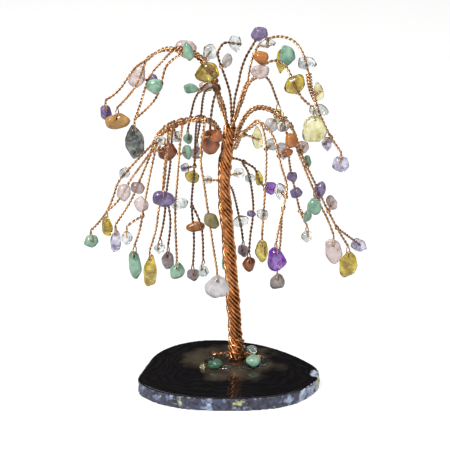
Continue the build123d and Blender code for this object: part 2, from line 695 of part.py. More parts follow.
def make_blank(width, height, thickness, taper, lean, variant):
    """Undrilled stone with its outline upright and its thickness along Y."""
    outline = stone_outline(width, height, taper, lean, variant)
    bevel = min(STONE_BEVEL, STONE_BEVEL_SHARE * min(width, height))
    with BuildPart() as blank:
        with BuildSketch(Plane.XZ):
            with BuildLine():
                Polyline(*outline, close=True)
            make_face()
        extrude(amount=thickness / 2, both=True)
        for face in blank.faces().sort_by(Axis.Y)[:: len(outline) + 1]:
            chamfer(face.edges(), length=bevel, length2=STONE_SHOULDER_SHARE * thickness, reference=face)
    return blank.part


def drill(stone, point, heading):
    """The stone with a straight hole through it for a wire."""
    length = DRILL_REACH * max(stone.bounding_box().size)
    with BuildPart() as drilled:
        add(stone)
        with BuildSketch(Plane(point - heading * (length / 2), z_dir=heading)):
            RegularPolygon(radius=STONE_BORE / 2, side_count=STONE_BORE_SIDES)
        extrude(amount=length, mode=Mode.SUBTRACT)
    return drilled.part.solid()


def drill_for_eye(stone, hole, heading):
    """The stone with a level hole through it: round above, where the eye bears, and flat-sided below."""
    length = DRILL_REACH * max(stone.bounding_box().size)
    level = Vector(0, 0, 1).cross(heading)
    half_spread = radians(BEARING_SPREAD / 2)
    flat_turn = (tau - 2 * half_spread) / BEARING_FLATS
    angles = [tau / 4 + half_spread + flat_turn * corner for corner in range(BEARING_FLATS + 1)]
    rim = [(PENDANT_BORE / 2 * cos(angle), PENDANT_BORE / 2 * sin(angle)) for angle in angles]
    with BuildPart() as drilled:
        add(stone)
        with BuildSketch(Plane(hole - heading * (length / 2), x_dir=level, z_dir=heading)):
            with BuildLine():
                Polyline(*rim)
                ThreePointArc(rim[-1], (0, PENDANT_BORE / 2), rim[0])
            make_face()
        extrude(amount=length, mode=Mode.SUBTRACT)
    return drilled.part.solid()


def make_pendant(name, variant):
    """Hanging stone: its mass hangs straight below the bore that the eye passes through."""
    width, height, thickness, taper, turn = PENDANTS[name][3:]
    hole = pendant_hole(name)[0]
    blank = make_blank(width, height, thickness, taper, 0, variant)
    centre = blank.center(CenterOf.MASS)
    top = blank.bounding_box().max.Z
    drop = PENDANT_BORE / 2 + PENDANT_WALL
    seated = blank.moved(Location((-centre.X, -centre.Y, drop - top)))
    placed = seated.moved(Location(hole, (0, 0, turn)))
    facing = Vector(sin(radians(turn)), -cos(radians(turn)), 0)
    return drill_for_eye(placed, hole, facing)


def make_strung(spec, variant):
    """Stone threaded on a wire: the bore follows the wire's run, the middle may lie beside it."""
    wire, across, up, depth, width, height, thickness, lean = spec
    wanted = at(across, up, depth)
    foot, heading = nearest_on_route(wire_routes[wire], wanted)
    middle = Vector(wanted.X, foot.Y, wanted.Z)
    blank = make_blank(width, height, thickness, 0, lean, variant).moved(Location(middle))
    return drill(blank, foot, heading)


def make_stubbed(spec, variant):
    """Stone on a short stub of wire that is tied to its carrier: returns the stone and the stub."""
    carrier, across, up, depth, width, height, thickness, lean = spec
    middle = at(across, up, depth)
    foot = nearest_on_route(wire_routes[carrier], middle)[0]
    heading = (middle - foot).normalized()
    seat = (trunk_reach if carrier == "trunk" else WIRE_DIAMETER / 2) + STUB_GAP
    start = foot + heading * seat
    end = middle + heading * STUB_REACH
    with BuildPart() as stub:
        with BuildSketch(Plane(start, z_dir=heading)):
            RegularPolygon(radius=WIRE_DIAMETER / 2, side_count=WIRE_SIDES)
        extrude(amount=(end - start).length)
    blank = make_blank(width, height, thickness, 0, lean, variant).moved(Location(middle))
    return drill(blank, middle, heading), stub.part.solid()


def corner_radii(outline):
    """Rounding at each corner of a closed outline, as large as its shorter side lets it be."""
    corners = [Vector(x, y) for x, y in outline]
    radii = []
    for before, corner, after in zip(corners[-1:] + corners, corners, corners[1:] + corners[:1]):
        arrive = corner - before
        leave = after - corner
        reach = SLICE_ROUND_SHARE * min(arrive.length, leave.length)
        radii.append(reach / tan(radians(arrive.get_angle(leave)) / 2))
    return radii


def write(name, solids):
    """One node: a single solid, or a group of separate solids."""
    node = solids[0] if len(solids) == 1 else Compound(solids)
    node.label = name
    export_step(node, f"parts/{name}.step")


# Agate slice
with BuildPart() as agate_slice:
    with BuildSketch():
        with BuildLine():
            FilletPolyline(*SLICE_OUTLINE, radius=corner_radii(SLICE_OUTLINE), close=True)
        make_face()
    extrude(amount=SLICE_THICKNESS)
    chamfer(agate_slice.faces().sort_by(Axis.Z)[-1].edges(), SLICE_EDGE)
agate_slice.part.label = "agate_slice"
export_step(agate_slice.part, "parts/agate_slice.step")

# Foot stones, root wires and the glue bed that holds them
foot_stones = []
for variant, (x, y, width, depth, height) in enumerate(FOOT_STONES):
    blank = make_blank(width, height, depth, 0, 0, variant)
    lift = SLICE_THICKNESS + STONE_SEAT - blank.bounding_box().min.Z
    foot_stones.append(blank.moved(Location((x, y, lift))))
write("foot_stones", [stone.solid() for stone in foot_stones])

glue_top = SLICE_THICKNESS + GLUE_HEIGHT
roots = []
for root in ROOT_ROUTES:
    roots.append(bend_wire([Vector(x, y, glue_top + height) for x, y, height in root]))
write("root_wires", roots)

with BuildPart() as glue_bed:
    with BuildSketch(Plane.XY.offset(SLICE_THICKNESS)):
        with BuildLine():
            angles = [tau * side / GLUE_SIDES for side in range(GLUE_SIDES)]
            rim = [(GLUE_LENGTH / 2 * cos(a), GLUE_SETBACK + GLUE_DEPTH / 2 * sin(a)) for a in angles]
            Polyline(*rim, close=True)
        make_face()
    extrude(amount=GLUE_HEIGHT)
    glue_face = glue_bed.faces().sort_by(Axis.Z)[-1]
    chamfer(glue_face.edges(), length=GLUE_SLOPE, length2=GLUE_HEIGHT - GLUE_EDGE, reference=glue_face)
    with BuildSketch(Plane.XY.offset(SLICE_THICKNESS)):
        Circle(trunk_reach + GLUE_BORE_GAP)
    extrude(amount=GLUE_HEIGHT, mode=Mode.SUBTRACT)
    add(foot_stones, mode=Mode.SUBTRACT)
glue_bed.part.label = "glue_bed"
export_step(glue_bed.part, "parts/glue_bed.step")

# Trunk
write("trunk_core", [make_core()])
write("trunk_strands", [make_strand(strand) for strand in range(STRAND_COUNT)])

# Wires
for group, wires in WIRE_GROUPS.items():
    write(group, [make_wire(wire) for wire in wires])

# Stones
stubs = []
variant = 0
for kind in STRUNG:
    stones = []
    for spec in STRUNG[kind]:
        variant += 1
        stones.append(make_strung(spec, variant))
    for spec in STUBBED[kind]:
        variant += 1
        stone, stub = make_stubbed(spec, variant)
        stones.append(stone)
        stubs.append(stub)
    write(kind, stones)
write("stone_stubs", stubs)

# Hanging stones
for name in PENDANTS:
    variant += 1
    write(f"hanging_{name}", [make_pendant(name, variant)])
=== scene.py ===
# %% [markdown]
# # Gemstone tree ornament
# A small tree of twisted copper wire carries drilled, tumbled stones and stands on a polished agate slice.
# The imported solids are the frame. Most of them are replaced here by pieces that show the twist of the wire,
# the rounding of the stones and the depth of the agate, each at the place its solid holds.

# %%
import json
from math import cos, pi, radians, sin, tau

import bpy
from mathutils import Matrix, Vector
from mathutils.kdtree import KDTree


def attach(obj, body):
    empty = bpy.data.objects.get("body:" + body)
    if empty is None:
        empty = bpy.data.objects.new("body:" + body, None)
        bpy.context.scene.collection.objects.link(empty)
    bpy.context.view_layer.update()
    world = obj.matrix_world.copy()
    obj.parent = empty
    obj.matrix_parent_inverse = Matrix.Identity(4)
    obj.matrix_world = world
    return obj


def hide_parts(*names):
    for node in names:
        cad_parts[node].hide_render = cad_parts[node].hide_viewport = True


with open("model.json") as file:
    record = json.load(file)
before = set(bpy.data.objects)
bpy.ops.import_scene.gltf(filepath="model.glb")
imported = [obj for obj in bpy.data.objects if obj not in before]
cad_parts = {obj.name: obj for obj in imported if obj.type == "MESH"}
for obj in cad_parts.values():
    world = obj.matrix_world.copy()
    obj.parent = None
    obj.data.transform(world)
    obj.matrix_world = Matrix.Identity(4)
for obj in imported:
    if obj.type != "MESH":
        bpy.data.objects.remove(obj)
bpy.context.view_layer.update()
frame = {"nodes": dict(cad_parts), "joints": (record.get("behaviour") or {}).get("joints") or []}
MM = 0.001
UP = Vector((0, 0, 1))

# %% [markdown]
# ## Routes
# The wires were laid out in mm on a sheet seen from in front and a little above, as the photograph sees them.
# These are the same routes as in the part's source: across, up and depth behind the trunk.

# %%
SHEET_TILT = 20.0
SHEET_DISTANCE = 500.0
SHEET_CENTRE_ACROSS = -4.3
SHEET_CENTRE_UP = 48.9
SHEET_CENTRE_HEIGHT = 57.0
LIMB_ROUTES = {
    "crown_left": [
        (-4.6, 89.2, 0), (-6.8, 96.0, 0), (-8.6, 102.1, 0), (-11.8, 107.8, 0), (-16.8, 111.0, 0),
        (-22.1, 111.9, -1), (-27.5, 111.0, -2), (-31.8, 107.8, -3),
    ],
    "crown_right": [(-0.4, 87.8, -1), (1.1, 92.1, -2), (2.5, 96.7, -2.5), (4.3, 100.0, -2)],
    "mid_left": [
        (-6.0, 80.0, -2), (-6.9, 83.9, -3), (-9.4, 86.0, -5), (-13.2, 86.9, -7), (-17.5, 86.4, -8),
        (-21.8, 85.2, -9), (-25.7, 83.2, -10), (-28.6, 80.3, -10),
    ],
    "mid_right": [
        (-0.1, 79.5, -1.4), (0.8, 83.8, -3), (2.3, 87.0, -4), (4.8, 89.5, -5), (7.9, 91.2, -6),
        (11.8, 90.3, -7), (16.4, 87.1, -8), (19.3, 84.3, -8),
    ],
    "mid_right_low": [(-0.7, 76.3, -1.7), (1.1, 80.3, -5.5), (3.9, 83.5, -8.5), (7.5, 86.0, -10)],
}
LIMB_WIRES = {
    "crown_left": ["quartz_drop_back", "amethyst_west", "carnelian_west", "quartz_drop"],
    "crown_right": ["pale_citrine", "pear", "arc"],
    "mid_left": ["violet_west", "green_disc", "yellow_west", "green_drop"],
    "mid_right": ["quartz_east", "rose_east", "citrine_east"],
    "mid_right_low": ["amethyst_big", "citrine_drop"],
}
LIMB_PLACE_TURN = {"crown_left": 45, "crown_right": 90, "mid_left": 45, "mid_right": 90, "mid_right_low": 0}
TWIG_ROUTES = {
    "amethyst_west": [(-35.5, 106.0, -3.5), (-38.0, 103.0, -4), (-42.8, 95.6, -4)],
    "carnelian_west": [(-33.6, 104.2, -5.5), (-35.7, 98.9, -7), (-39.6, 93.8, -9)],
    "quartz_drop": [(-25.0, 106.7, -5), (-26.4, 102.5, -6), (-27.8, 95.7, -6), (-31.5, 90.8, -6)],
    "quartz_drop_back": [(-26.0, 108.0, 3), (-30.7, 103.2, 5), (-32.5, 98.9, 5), (-35.2, 89.6, -2.5)],
    "hook": [
        (-2.1, 90.0, 2.5), (-2.3, 95.3, 3), (-3.6, 100.0, 3), (-5.7, 105.7, 2), (-7.1, 109.6, 1),
        (-6.1, 112.5, 0), (-3.9, 114.6, 0), (1.6, 113.4, -1),
    ],
    "crest": [
        (-1.2, 90.0, 1.2), (-0.9, 94.2, 2), (0.7, 100.0, 3), (1.2, 103.5, 4), (2.9, 108.5, 4),
        (5.0, 112.1, 4), (9.0, 118.6, 3),
    ],
    "arc": [
        (4.6, 105.7, -2), (7.0, 113.0, -2), (13.0, 116.5, -2), (19.5, 115.6, -2), (23.5, 111.0, -3),
        (25.7, 103.0, -3), (26.0, 98.0, -3), (28.0, 93.0, -3), (30.5, 86.0, -4), (34.3, 78.6, -4),
    ],
    "pear": [
        (6.4, 102.5, -3.5), (9.3, 105.7, -3), (12.1, 107.6, -3), (15.7, 107.5, -3), (18.2, 104.8, -4.5),
        (22.1, 95.3, -6), (25.0, 92.4, -8),
    ],
    "pale_citrine": [(7.5, 101.8, 2), (10.0, 102.3, 6), (12.1, 99.8, 9), (13.6, 95.3, 11)],
    "green_disc": [
        (-29.6, 78.3, -11), (-35.0, 72.8, -12), (-42.5, 64.8, -13), (-44.0, 59.5, -13),
        (-45.6, 55.0, -12), (-48.5, 50.4, -10),
    ],
    "yellow_west": [(-30.0, 76.2, -13), (-34.6, 69.6, -15.5), (-38.7, 64.3, -17), (-41.9, 57.2, -17)],
    "violet_west": [(-30.2, 75.5, -9), (-33.8, 67.0, -8), (-37.2, 58.5, -6.5), (-40.3, 53.5, -5)],
    "green_drop": [
        (-29.2, 75.5, -12.5), (-31.1, 66.8, -14), (-32.5, 59.5, -15), (-33.8, 52.0, -15),
        (-34.8, 46.0, -15),
    ],
    "quartz_low_west": [(-34.7, 51.6, -16.1), (-36.4, 50.6, -18)],
    "citrine_long": [
        (-24.6, 82.3, -10.6), (-25.2, 72.1, -10.5), (-26.1, 61.4, -10), (-28.0, 55.0, -10),
        (-28.8, 46.4, -10),
    ],
    "quartz_green": [
        (-22.4, 85.6, -7.4), (-23.3, 79.0, -1), (-23.6, 71.0, 5), (-25.2, 61.0, 8), (-25.9, 50.0, 8.5),
    ],
    "amethyst_oval": [(-23.4, 83.4, -10.6), (-24.6, 78.0, -14.4), (-26.0, 70.0, -17)],
    "green_low": [
        (-19.4, 84.8, -9.4), (-20.4, 78.0, -12), (-20.9, 70.0, -13), (-22.2, 54.0, -13),
        (-21.8, 43.6, -12.5),
    ],
    "rose_grey": [(-25.0, 58.4, 9.2), (-23.8, 52.5, 7.5), (-23.8, 46.5, 6.5)],
    "rose_back": [
        (-14.2, 86.9, -5.8), (-14.8, 80.5, 0), (-15.0, 72.1, 4), (-15.7, 63.2, 7), (-16.4, 56.0, 9),
        (-15.0, 43.6, 10),
    ],
    "quartz_back": [(-15.6, 55.2, 7.8), (-13.6, 51.2, 5.5), (-12.0, 45.7, 5)],
    "rose_white": [
        (-11.4, 86.0, -7.4), (-12.4, 80.0, -12.5), (-13.2, 72.1, -13), (-11.8, 63.9, -12.5),
        (-10.7, 56.0, -12), (-8.2, 39.0, -12),
    ],
    "citrine_drop": [(9.3, 83.9, -11), (10.5, 76.8, -11), (10.4, 66.8, -11), (9.2, 49.4, -10.5)],
    "amethyst_big": [
        (10.6, 84.2, -12.4), (13.9, 78.9, -13), (15.0, 72.8, -14), (16.4, 67.8, -14), (18.2, 62.5, -14),
        (16.8, 56.0, -14), (14.8, 47.5, -14),
    ],
    "grey_pebble": [(16.2, 55.0, -13.2), (15.9, 49.0, -9.5), (15.5, 42.0, -8)],
    "quartz_east": [(18.9, 78.5, -2), (18.3, 71.8, 5), (21.5, 58.2, 9.5), (22.6, 53.0, 10)],
    "rose_east": [
        (20.4, 81.0, -8), (21.2, 76.4, -7.5), (23.9, 69.6, -7.5), (26.8, 62.8, -7.5), (30.0, 55.3, -7),
        (32.5, 51.0, -6.5),
    ],
    "citrine_east": [
        (20.9, 81.6, -6.8), (22.2, 76.4, -6), (24.6, 70.4, -5.5), (27.3, 65.0, -4), (30.7, 57.6, -2.5),
        (33.0, 53.0, -1.5), (36.3, 46.6, -1),
    ],
    "small_low": [
        (-1.0, 72.8, 1.2), (1.4, 72.1, 2.5), (4.6, 70.3, 4), (6.8, 69.0, 5), (8.6, 62.2, 6.5),
        (13.0, 62.0, 12.5),
    ],
    "carnelian_point": [
        (1.6, 71.2, 3.6), (4.0, 68.5, 6), (5.3, 62.0, 8), (5.9, 56.0, 9), (5.6, 50.5, 9),
        (4.6, 45.0, 7.5),
    ],
    "rose_centre": [(-2.1, 63.2, 1.8), (-0.7, 58.5, 6), (0.3, 53.9, 8.5), (1.9, 46.6, 10.6)],
    "green_behind": [(-4.7, 61.0, 3.2), (-4.4, 55.0, 9), (-4.2, 47.0, 13)],
    "mauve_back": [(-7.7, 98.4, 1.9), (-10.4, 97.6, 4.5), (-12.1, 95.4, 8), (-12.8, 87.0, 13)],
    "green_back": [(-8.4, 100.8, 1.9), (-11.5, 98.8, 9), (-15.0, 94.6, 14), (-16.4, 88.5, 16)],
    "jasper_big": [(-7.0, 97.0, -1.5), (-8.2, 94.5, -2.5), (-9.0, 90.3, -5)],
}
PENDANT_WIRE = {
    "amethyst_east": "arc",
    "citrine_pear": "pear",
    "citrine_west": "yellow_west",
    "amethyst_low_west": "violet_west",
}
TOP_SEATS = {
    "amethyst_west": 100,
    "carnelian_west": 220,
    "quartz_drop": 180,
    "quartz_drop_back": 140,
    "hook": 60,
    "arc": 265,
    "pear": 315,
    "pale_citrine": 20,
}
WIRE_GROUPS = {
    "crown_left_wires": ["amethyst_west", "carnelian_west", "quartz_drop", "quartz_drop_back"],
    "crown_top_wires": ["hook", "crest"],
    "crown_right_wires": ["arc", "pear", "pale_citrine"],
    "crown_back_wires": ["mauve_back", "green_back", "jasper_big"],
    "mid_left_arch_wires": ["green_disc", "yellow_west", "violet_west", "green_drop", "quartz_low_west"],
    "mid_left_front_wires": ["citrine_long", "amethyst_oval", "green_low", "rose_white"],
    "mid_left_back_wires": ["quartz_green", "rose_grey", "rose_back", "quartz_back"],
    "mid_right_front_wires": ["citrine_drop", "amethyst_big", "grey_pebble"],
    "mid_right_arch_wires": ["rose_east", "citrine_east", "quartz_east"],
    "low_right_wires": ["small_low", "carnelian_point", "rose_centre", "green_behind"],
}
ROOT_ROUTES = [
    [(-3.2, -0.4, 1.2), (-5.2, -0.9, 0.8), (-8.4, -0.6, 0.6), (-9.5, -1.3, 1.5)],
    [(3.1, -0.9, 1.2), (5.2, -2.0, 0.8), (8.9, -2.6, 0.6)],
    [(0.4, -3.3, 2.2), (1.1, -4.8, 0.8)],
]
TRUNK_ROUTE = [
    (-0.7, 11.4), (-1.4, 22.1), (-2.5, 36.4), (-3.9, 52.5), (-5.0, 65.0), (-3.2, 79.3), (-2.5, 83.9),
]
LEAVES_AFTER = {"quartz_drop": 5, "quartz_drop_back": 6, "quartz_east": 7}
SLICE_TOP = 5.0
GLUE_TOP = 6.0


def at(across, up, depth):
    """Frame point, in metres, that shows at (across, up) on the front sheet."""
    tilt = radians(SHEET_TILT)
    rise = up - SHEET_CENTRE_UP
    level_reach = SHEET_DISTANCE * cos(tilt)
    stretch = (depth + level_reach) / (level_reach + rise * sin(tilt))
    eye_height = SHEET_CENTRE_HEIGHT + SHEET_DISTANCE * sin(tilt)
    x = SHEET_CENTRE_ACROSS + (across - SHEET_CENTRE_ACROSS) * stretch
    z = eye_height + stretch * (rise * cos(tilt) - SHEET_DISTANCE * sin(tilt))
    return Vector((x, depth, z)) * MM


def along_sheet(points):
    return [at(*point) for point in points]


print("Routes:", len(LIMB_ROUTES), "limbs and", len(TWIG_ROUTES), "twigs")

# %% [markdown]
# ## Camera, floor and light
# The camera stands where the photograph was taken from: in front, 20 degrees above the level.
# The background is white for the camera and for reflections, and the lamps stay at a plain level.
# Dark cards round the tree, unseen by the camera, give the copper dark edges and the slice its depth.
# Clear stones see the cards at the sides, which draws their outlines, but not the one behind them.

# %%
SENSOR_WIDTH = 36.0
PICTURE_WIDTH = 160.6
FLOOR_SIZE = 4.0
NEAREST_SEEN = 0.01


def add_object(name, data):
    """New object with this data, put into the scene."""
    made = bpy.data.objects.new(name, data)
    bpy.context.collection.objects.link(made)
    return made


def fill(tree, made, inputs):
    """Fills a node's inputs with values or links."""
    for name, value in inputs.items():
        if isinstance(value, bpy.types.NodeSocket):
            tree.links.new(value, made.inputs[name])
        else:
            made.inputs[name].default_value = value


def node(tree, kind, inputs=None, **settings):
    """Adds a node, sets its properties and fills its inputs."""
    made = tree.nodes.new(kind)
    for name, value in settings.items():
        setattr(made, name, value)
    fill(tree, made, inputs or {})
    return made


def calculate(tree, operation, first, second=0.0, clamp=False):
    """Result of a calculation with values or links."""
    numbers = {0: first, 1: second}
    return node(tree, "ShaderNodeMath", numbers, operation=operation, use_clamp=clamp).outputs[0]


def seen_by_mirror_or_camera(tree):
    """1 for camera, glossy and transmission rays, and 0 for light that bounces off dull surfaces."""
    path = node(tree, "ShaderNodeLightPath").outputs
    mirror = calculate(tree, "MAXIMUM", path["Is Camera Ray"], path["Is Glossy Ray"])
    return calculate(tree, "MAXIMUM", mirror, path["Is Transmission Ray"])


camera_data = bpy.data.cameras.new("Camera")
camera_data.sensor_width = SENSOR_WIDTH
camera_data.lens = SENSOR_WIDTH * SHEET_DISTANCE / PICTURE_WIDTH
camera_data.clip_start = NEAREST_SEEN
camera = add_object("Camera", camera_data)
target = Vector((SHEET_CENTRE_ACROSS, 0, SHEET_CENTRE_HEIGHT)) * MM
tilt = radians(SHEET_TILT)
camera.location = target + Vector((0, -cos(tilt), sin(tilt))) * SHEET_DISTANCE * MM
camera.rotation_euler = (pi / 2 - tilt, 0, 0)
bpy.context.scene.camera = camera
bpy.context.scene.view_settings.view_transform = "Standard"

world = bpy.data.worlds.new("Studio")
bpy.context.scene.world = world
world.use_nodes = True
sky = world.node_tree
sky.nodes.clear()
lit = node(sky, "ShaderNodeBackground", {"Color": (1.0, 0.98, 0.95, 1), "Strength": 0.36}).outputs[0]
white = node(sky, "ShaderNodeBackground", {"Color": (1, 1, 1, 1), "Strength": 1.0}).outputs[0]
either = node(sky, "ShaderNodeMixShader", {0: seen_by_mirror_or_camera(sky), 1: lit, 2: white}).outputs[0]
node(sky, "ShaderNodeOutputWorld", {"Surface": either})

# Each lamp's place, size and power
LAMPS = {
    "Key": ((-0.26, -0.42, 0.50), 0.22, 4.4),
    "Fill": ((0.45, -0.35, 0.25), 0.40, 0.9),
    "Rim": ((-0.25, 0.40, 0.55), 0.30, 1.6),
}
for name, (place, size, power) in LAMPS.items():
    lamp_data = bpy.data.lights.new(name, "AREA")
    lamp_data.size = size
    lamp_data.energy = power
    lamp = add_object(name, lamp_data)
    lamp.location = place
    lamp.rotation_euler = (target - lamp.location).to_track_quat("-Z", "Y").to_euler()

bpy.ops.mesh.primitive_plane_add(size=FLOOR_SIZE, location=(0, 0, 0))
floor = bpy.context.object
floor.name = "Floor"
floor_paint = bpy.data.materials.new("Pale floor")
floor_paint.use_nodes = True
tree = floor_paint.node_tree
tree.nodes.clear()
dull = node(tree, "ShaderNodeBsdfDiffuse", {"Color": (0.30, 0.30, 0.30, 1)}).outputs[0]
shine = {"Color": (0.80, 0.80, 0.80, 1), "Strength": seen_by_mirror_or_camera(tree)}
glow = node(tree, "ShaderNodeEmission", shine).outputs[0]
both = node(tree, "ShaderNodeAddShader", {0: dull, 1: glow}).outputs[0]
node(tree, "ShaderNodeOutputMaterial", {"Surface": both})
floor.data.materials.append(floor_paint)

# Each card's place, turn and size, and whether clear stones see it
CARDS = {
    "Card_left": ((-0.34, 0.0, 0.15), (0, pi / 2, 0), 0.7, True),
    "Card_right": ((0.34, 0.0, 0.15), (0, pi / 2, 0), 0.7, True),
    "Card_back": ((0.0, 0.40, 0.15), (pi / 2, 0, 0), 0.9, False),
}
card_paint = bpy.data.materials.new("Dark card")
card_paint.use_nodes = True
card_shader = card_paint.node_tree.nodes["Principled BSDF"]
fill(card_paint.node_tree, card_shader, {"Base Color": (0.02, 0.018, 0.016, 1), "Roughness": 1.0})
for name, (place, turn, size, seen_through_stones) in CARDS.items():
    bpy.ops.mesh.primitive_plane_add(size=size, location=place, rotation=turn)
    card = bpy.context.object
    card.name = name
    card.visible_camera = False
    card.visible_diffuse = False
    card.visible_transmission = seen_through_stones
    card.visible_shadow = False
    card.data.materials.append(card_paint)
print("Camera, floor, cards and", len(LAMPS), "lamps are in place")

# %% [markdown]
# ## Shared surface effects
# Three node groups work out masks from the place on the piece, so that every finish shows detail at its
# real size: soft mottling, thin veils such as healed cracks in quartz, and the fine grain of a drawn or
# ground surface.

# %%


def new_group(name, inputs):
    """Node group with a value output, and the place on the piece, counted in the group's size."""
    group = bpy.data.node_groups.new(name, "ShaderNodeTree")
    for label, default in inputs.items():
        socket = group.interface.new_socket(label, in_out="INPUT", socket_type="NodeSocketFloat")
        socket.default_value = default
    group.interface.new_socket("Value", in_out="OUTPUT", socket_type="NodeSocketFloat")
    ways_in = node(group, "NodeGroupInput").outputs
    spot = node(group, "ShaderNodeTexCoord").outputs["Object"]
    per_size = calculate(group, "DIVIDE", 1.0, ways_in["Size"])
    place = node(group, "ShaderNodeVectorMath", {0: spot, "Scale": per_size}, operation="SCALE")
    return group, ways_in, place.outputs[0]


def close_group(group, value):
    node(group, "NodeGroupOutput", {"Value": value})
    return group


def between(tree, value, low, high):
    """Value stretched so that low becomes 0 and high becomes 1."""
    stretched = node(tree, "ShaderNodeMapRange", {"Value": value, "From Min": low, "From Max": high})
    return stretched.outputs["Result"]


group, ways_in, place = new_group("Mottle", {"Size": 0.003, "Shift": 0.0})
cloudy = {"Vector": place, "W": ways_in["Shift"], "Scale": 1.0, "Detail": 3.0}
cloud = node(group, "ShaderNodeTexNoise", cloudy, noise_dimensions="4D")
MOTTLE = close_group(group, between(group, cloud.outputs["Fac"], 0.32, 0.68))

group, ways_in, place = new_group("Veil", {"Size": 0.004, "Width": 0.05, "Shift": 0.0})
folded = {"Vector": place, "W": ways_in["Shift"], "Scale": 1.0, "Detail": 4.0, "Distortion": 1.2}
fold = node(group, "ShaderNodeTexNoise", folded, noise_dimensions="4D")
distance = calculate(group, "ABSOLUTE", calculate(group, "SUBTRACT", fold.outputs["Fac"], 0.5))
share = calculate(group, "DIVIDE", distance, ways_in["Width"], clamp=True)
VEIL = close_group(group, calculate(group, "SUBTRACT", 1.0, share))

group, ways_in, place = new_group("Grain", {"Size": 0.0004})
speck = node(group, "ShaderNodeTexVoronoi", {"Vector": place, "Scale": 1.0})
GRAIN = close_group(group, speck.outputs["Distance"])


def effect(tree, group, **inputs):
    """One of the shared effects, used in a material."""
    return node(tree, "ShaderNodeGroup", inputs, node_tree=group).outputs["Value"]


def mottle(tree, size, shift=0.0):
    return effect(tree, MOTTLE, Size=size, Shift=shift)


def mix(tree, share, first, second):
    """Colour between two, each a colour or a link."""
    ends = [(*colour, 1) if isinstance(colour, tuple) else colour for colour in (first, second)]
    blend = node(tree, "ShaderNodeMix", {0: share, 6: ends[0], 7: ends[1]}, data_type="RGBA")
    return blend.outputs[2]


def scaled(tree, value, low, high):
    """Value from 0 to 1 spread over a range."""
    spread = node(tree, "ShaderNodeMapRange", {"Value": value, "To Min": low, "To Max": high})
    return spread.outputs["Result"]


def bump(tree, height, strength, distance):
    relief = {"Height": height, "Strength": strength, "Distance": distance}
    return node(tree, "ShaderNodeBump", relief).outputs["Normal"]


def new_material(name):
    material = bpy.data.materials.new(name)
    material.use_nodes = True
    return material, material.node_tree, material.node_tree.nodes["Principled BSDF"]


print("Shared effects:", ", ".join(group.name for group in (MOTTLE, VEIL, GRAIN)))

# %% [markdown]
# ## Copper
# Craft wire is bright where it was drawn and handled, and browner where it has begun to tarnish. The twigs
# behind the trunk get a darker copy of the copper, which is painted shade; its patches are still real
# tarnish.

# %%


def make_copper(name, bright, warm, brown, tarnish):
    material, tree, shader = new_material(name)
    handled = mix(tree, mottle(tree, 0.004), warm, bright)
    patches = scaled(tree, mottle(tree, 0.0016, 3.0), 0.0, tarnish)
    dull_spots = mottle(tree, 0.0011, 5.0)
    drawn = effect(tree, GRAIN, Size=0.00018)
    fill(tree, shader, {
        "Metallic": 1.0,
        "Base Color": mix(tree, patches, handled, brown),
        "Roughness": scaled(tree, dull_spots, 0.16, 0.36),
        "Normal": bump(tree, drawn, 0.12, 0.00003),
    })
    return material


# Bright, warm and brown colour, and how far the tarnish has gone
COPPER = make_copper("Copper wire", (0.93, 0.62, 0.36), (0.60, 0.31, 0.15), (0.13, 0.06, 0.03), 0.7)
# Darker copy of the copper for the twigs behind the trunk: painted shade, with real tarnish patches
SHADED_COPPER = make_copper(
    "Copper in painted shade", (0.46, 0.26, 0.15), (0.28, 0.14, 0.075), (0.09, 0.045, 0.025), 0.8
)
TRUNK_COPPER = make_copper(
    "Copper trunk", (0.93, 0.43, 0.17), (0.54, 0.20, 0.065), (0.075, 0.027, 0.012), 0.75
)
print("Made", COPPER.name, "and", SHADED_COPPER.name, "and", TRUNK_COPPER.name)

# %% [markdown]
# ## Stones' finishes
# Each kind has a deep and a pale colour that drift through the stone, veils inside it, and a tumbled polish
# with small dull spots. Clear kinds pass light, and jasper and aventurine keep nearly all of it outside.
# Light crosses more stone in the middle than at the edge, so the middle is the deeper colour.

# %%
VEIL_SHARE = 0.35
DRIFT_SIZE = 0.0045


def make_gem(name, deep, pale, veil_colour, clear, drift=DRIFT_SIZE, darkness=0.0, veil=VEIL_SHARE):
    material, tree, shader = new_material(name)
    edge = node(tree, "ShaderNodeLayerWeight", {"Blend": 0.35}).outputs["Facing"]
    clouds = between(tree, mottle(tree, drift), 0.2 + darkness, 0.8 + darkness)
    body = mix(tree, calculate(tree, "ADD", clouds, edge, clamp=True), deep, pale)
    wisps = scaled(tree, effect(tree, VEIL, Size=0.0055, Width=0.05), 0.0, veil)
    dull_spots = mottle(tree, 0.0016, 2.0)
    waves = mottle(tree, 0.0020, 4.0)
    fill(tree, shader, {
        "Transmission Weight": clear,
        "IOR": 1.54,
        "Base Color": mix(tree, wisps, body, veil_colour),
        "Roughness": scaled(tree, dull_spots, 0.02, 0.15),
        "Normal": bump(tree, waves, 0.2, 0.00012),
    })
    return material


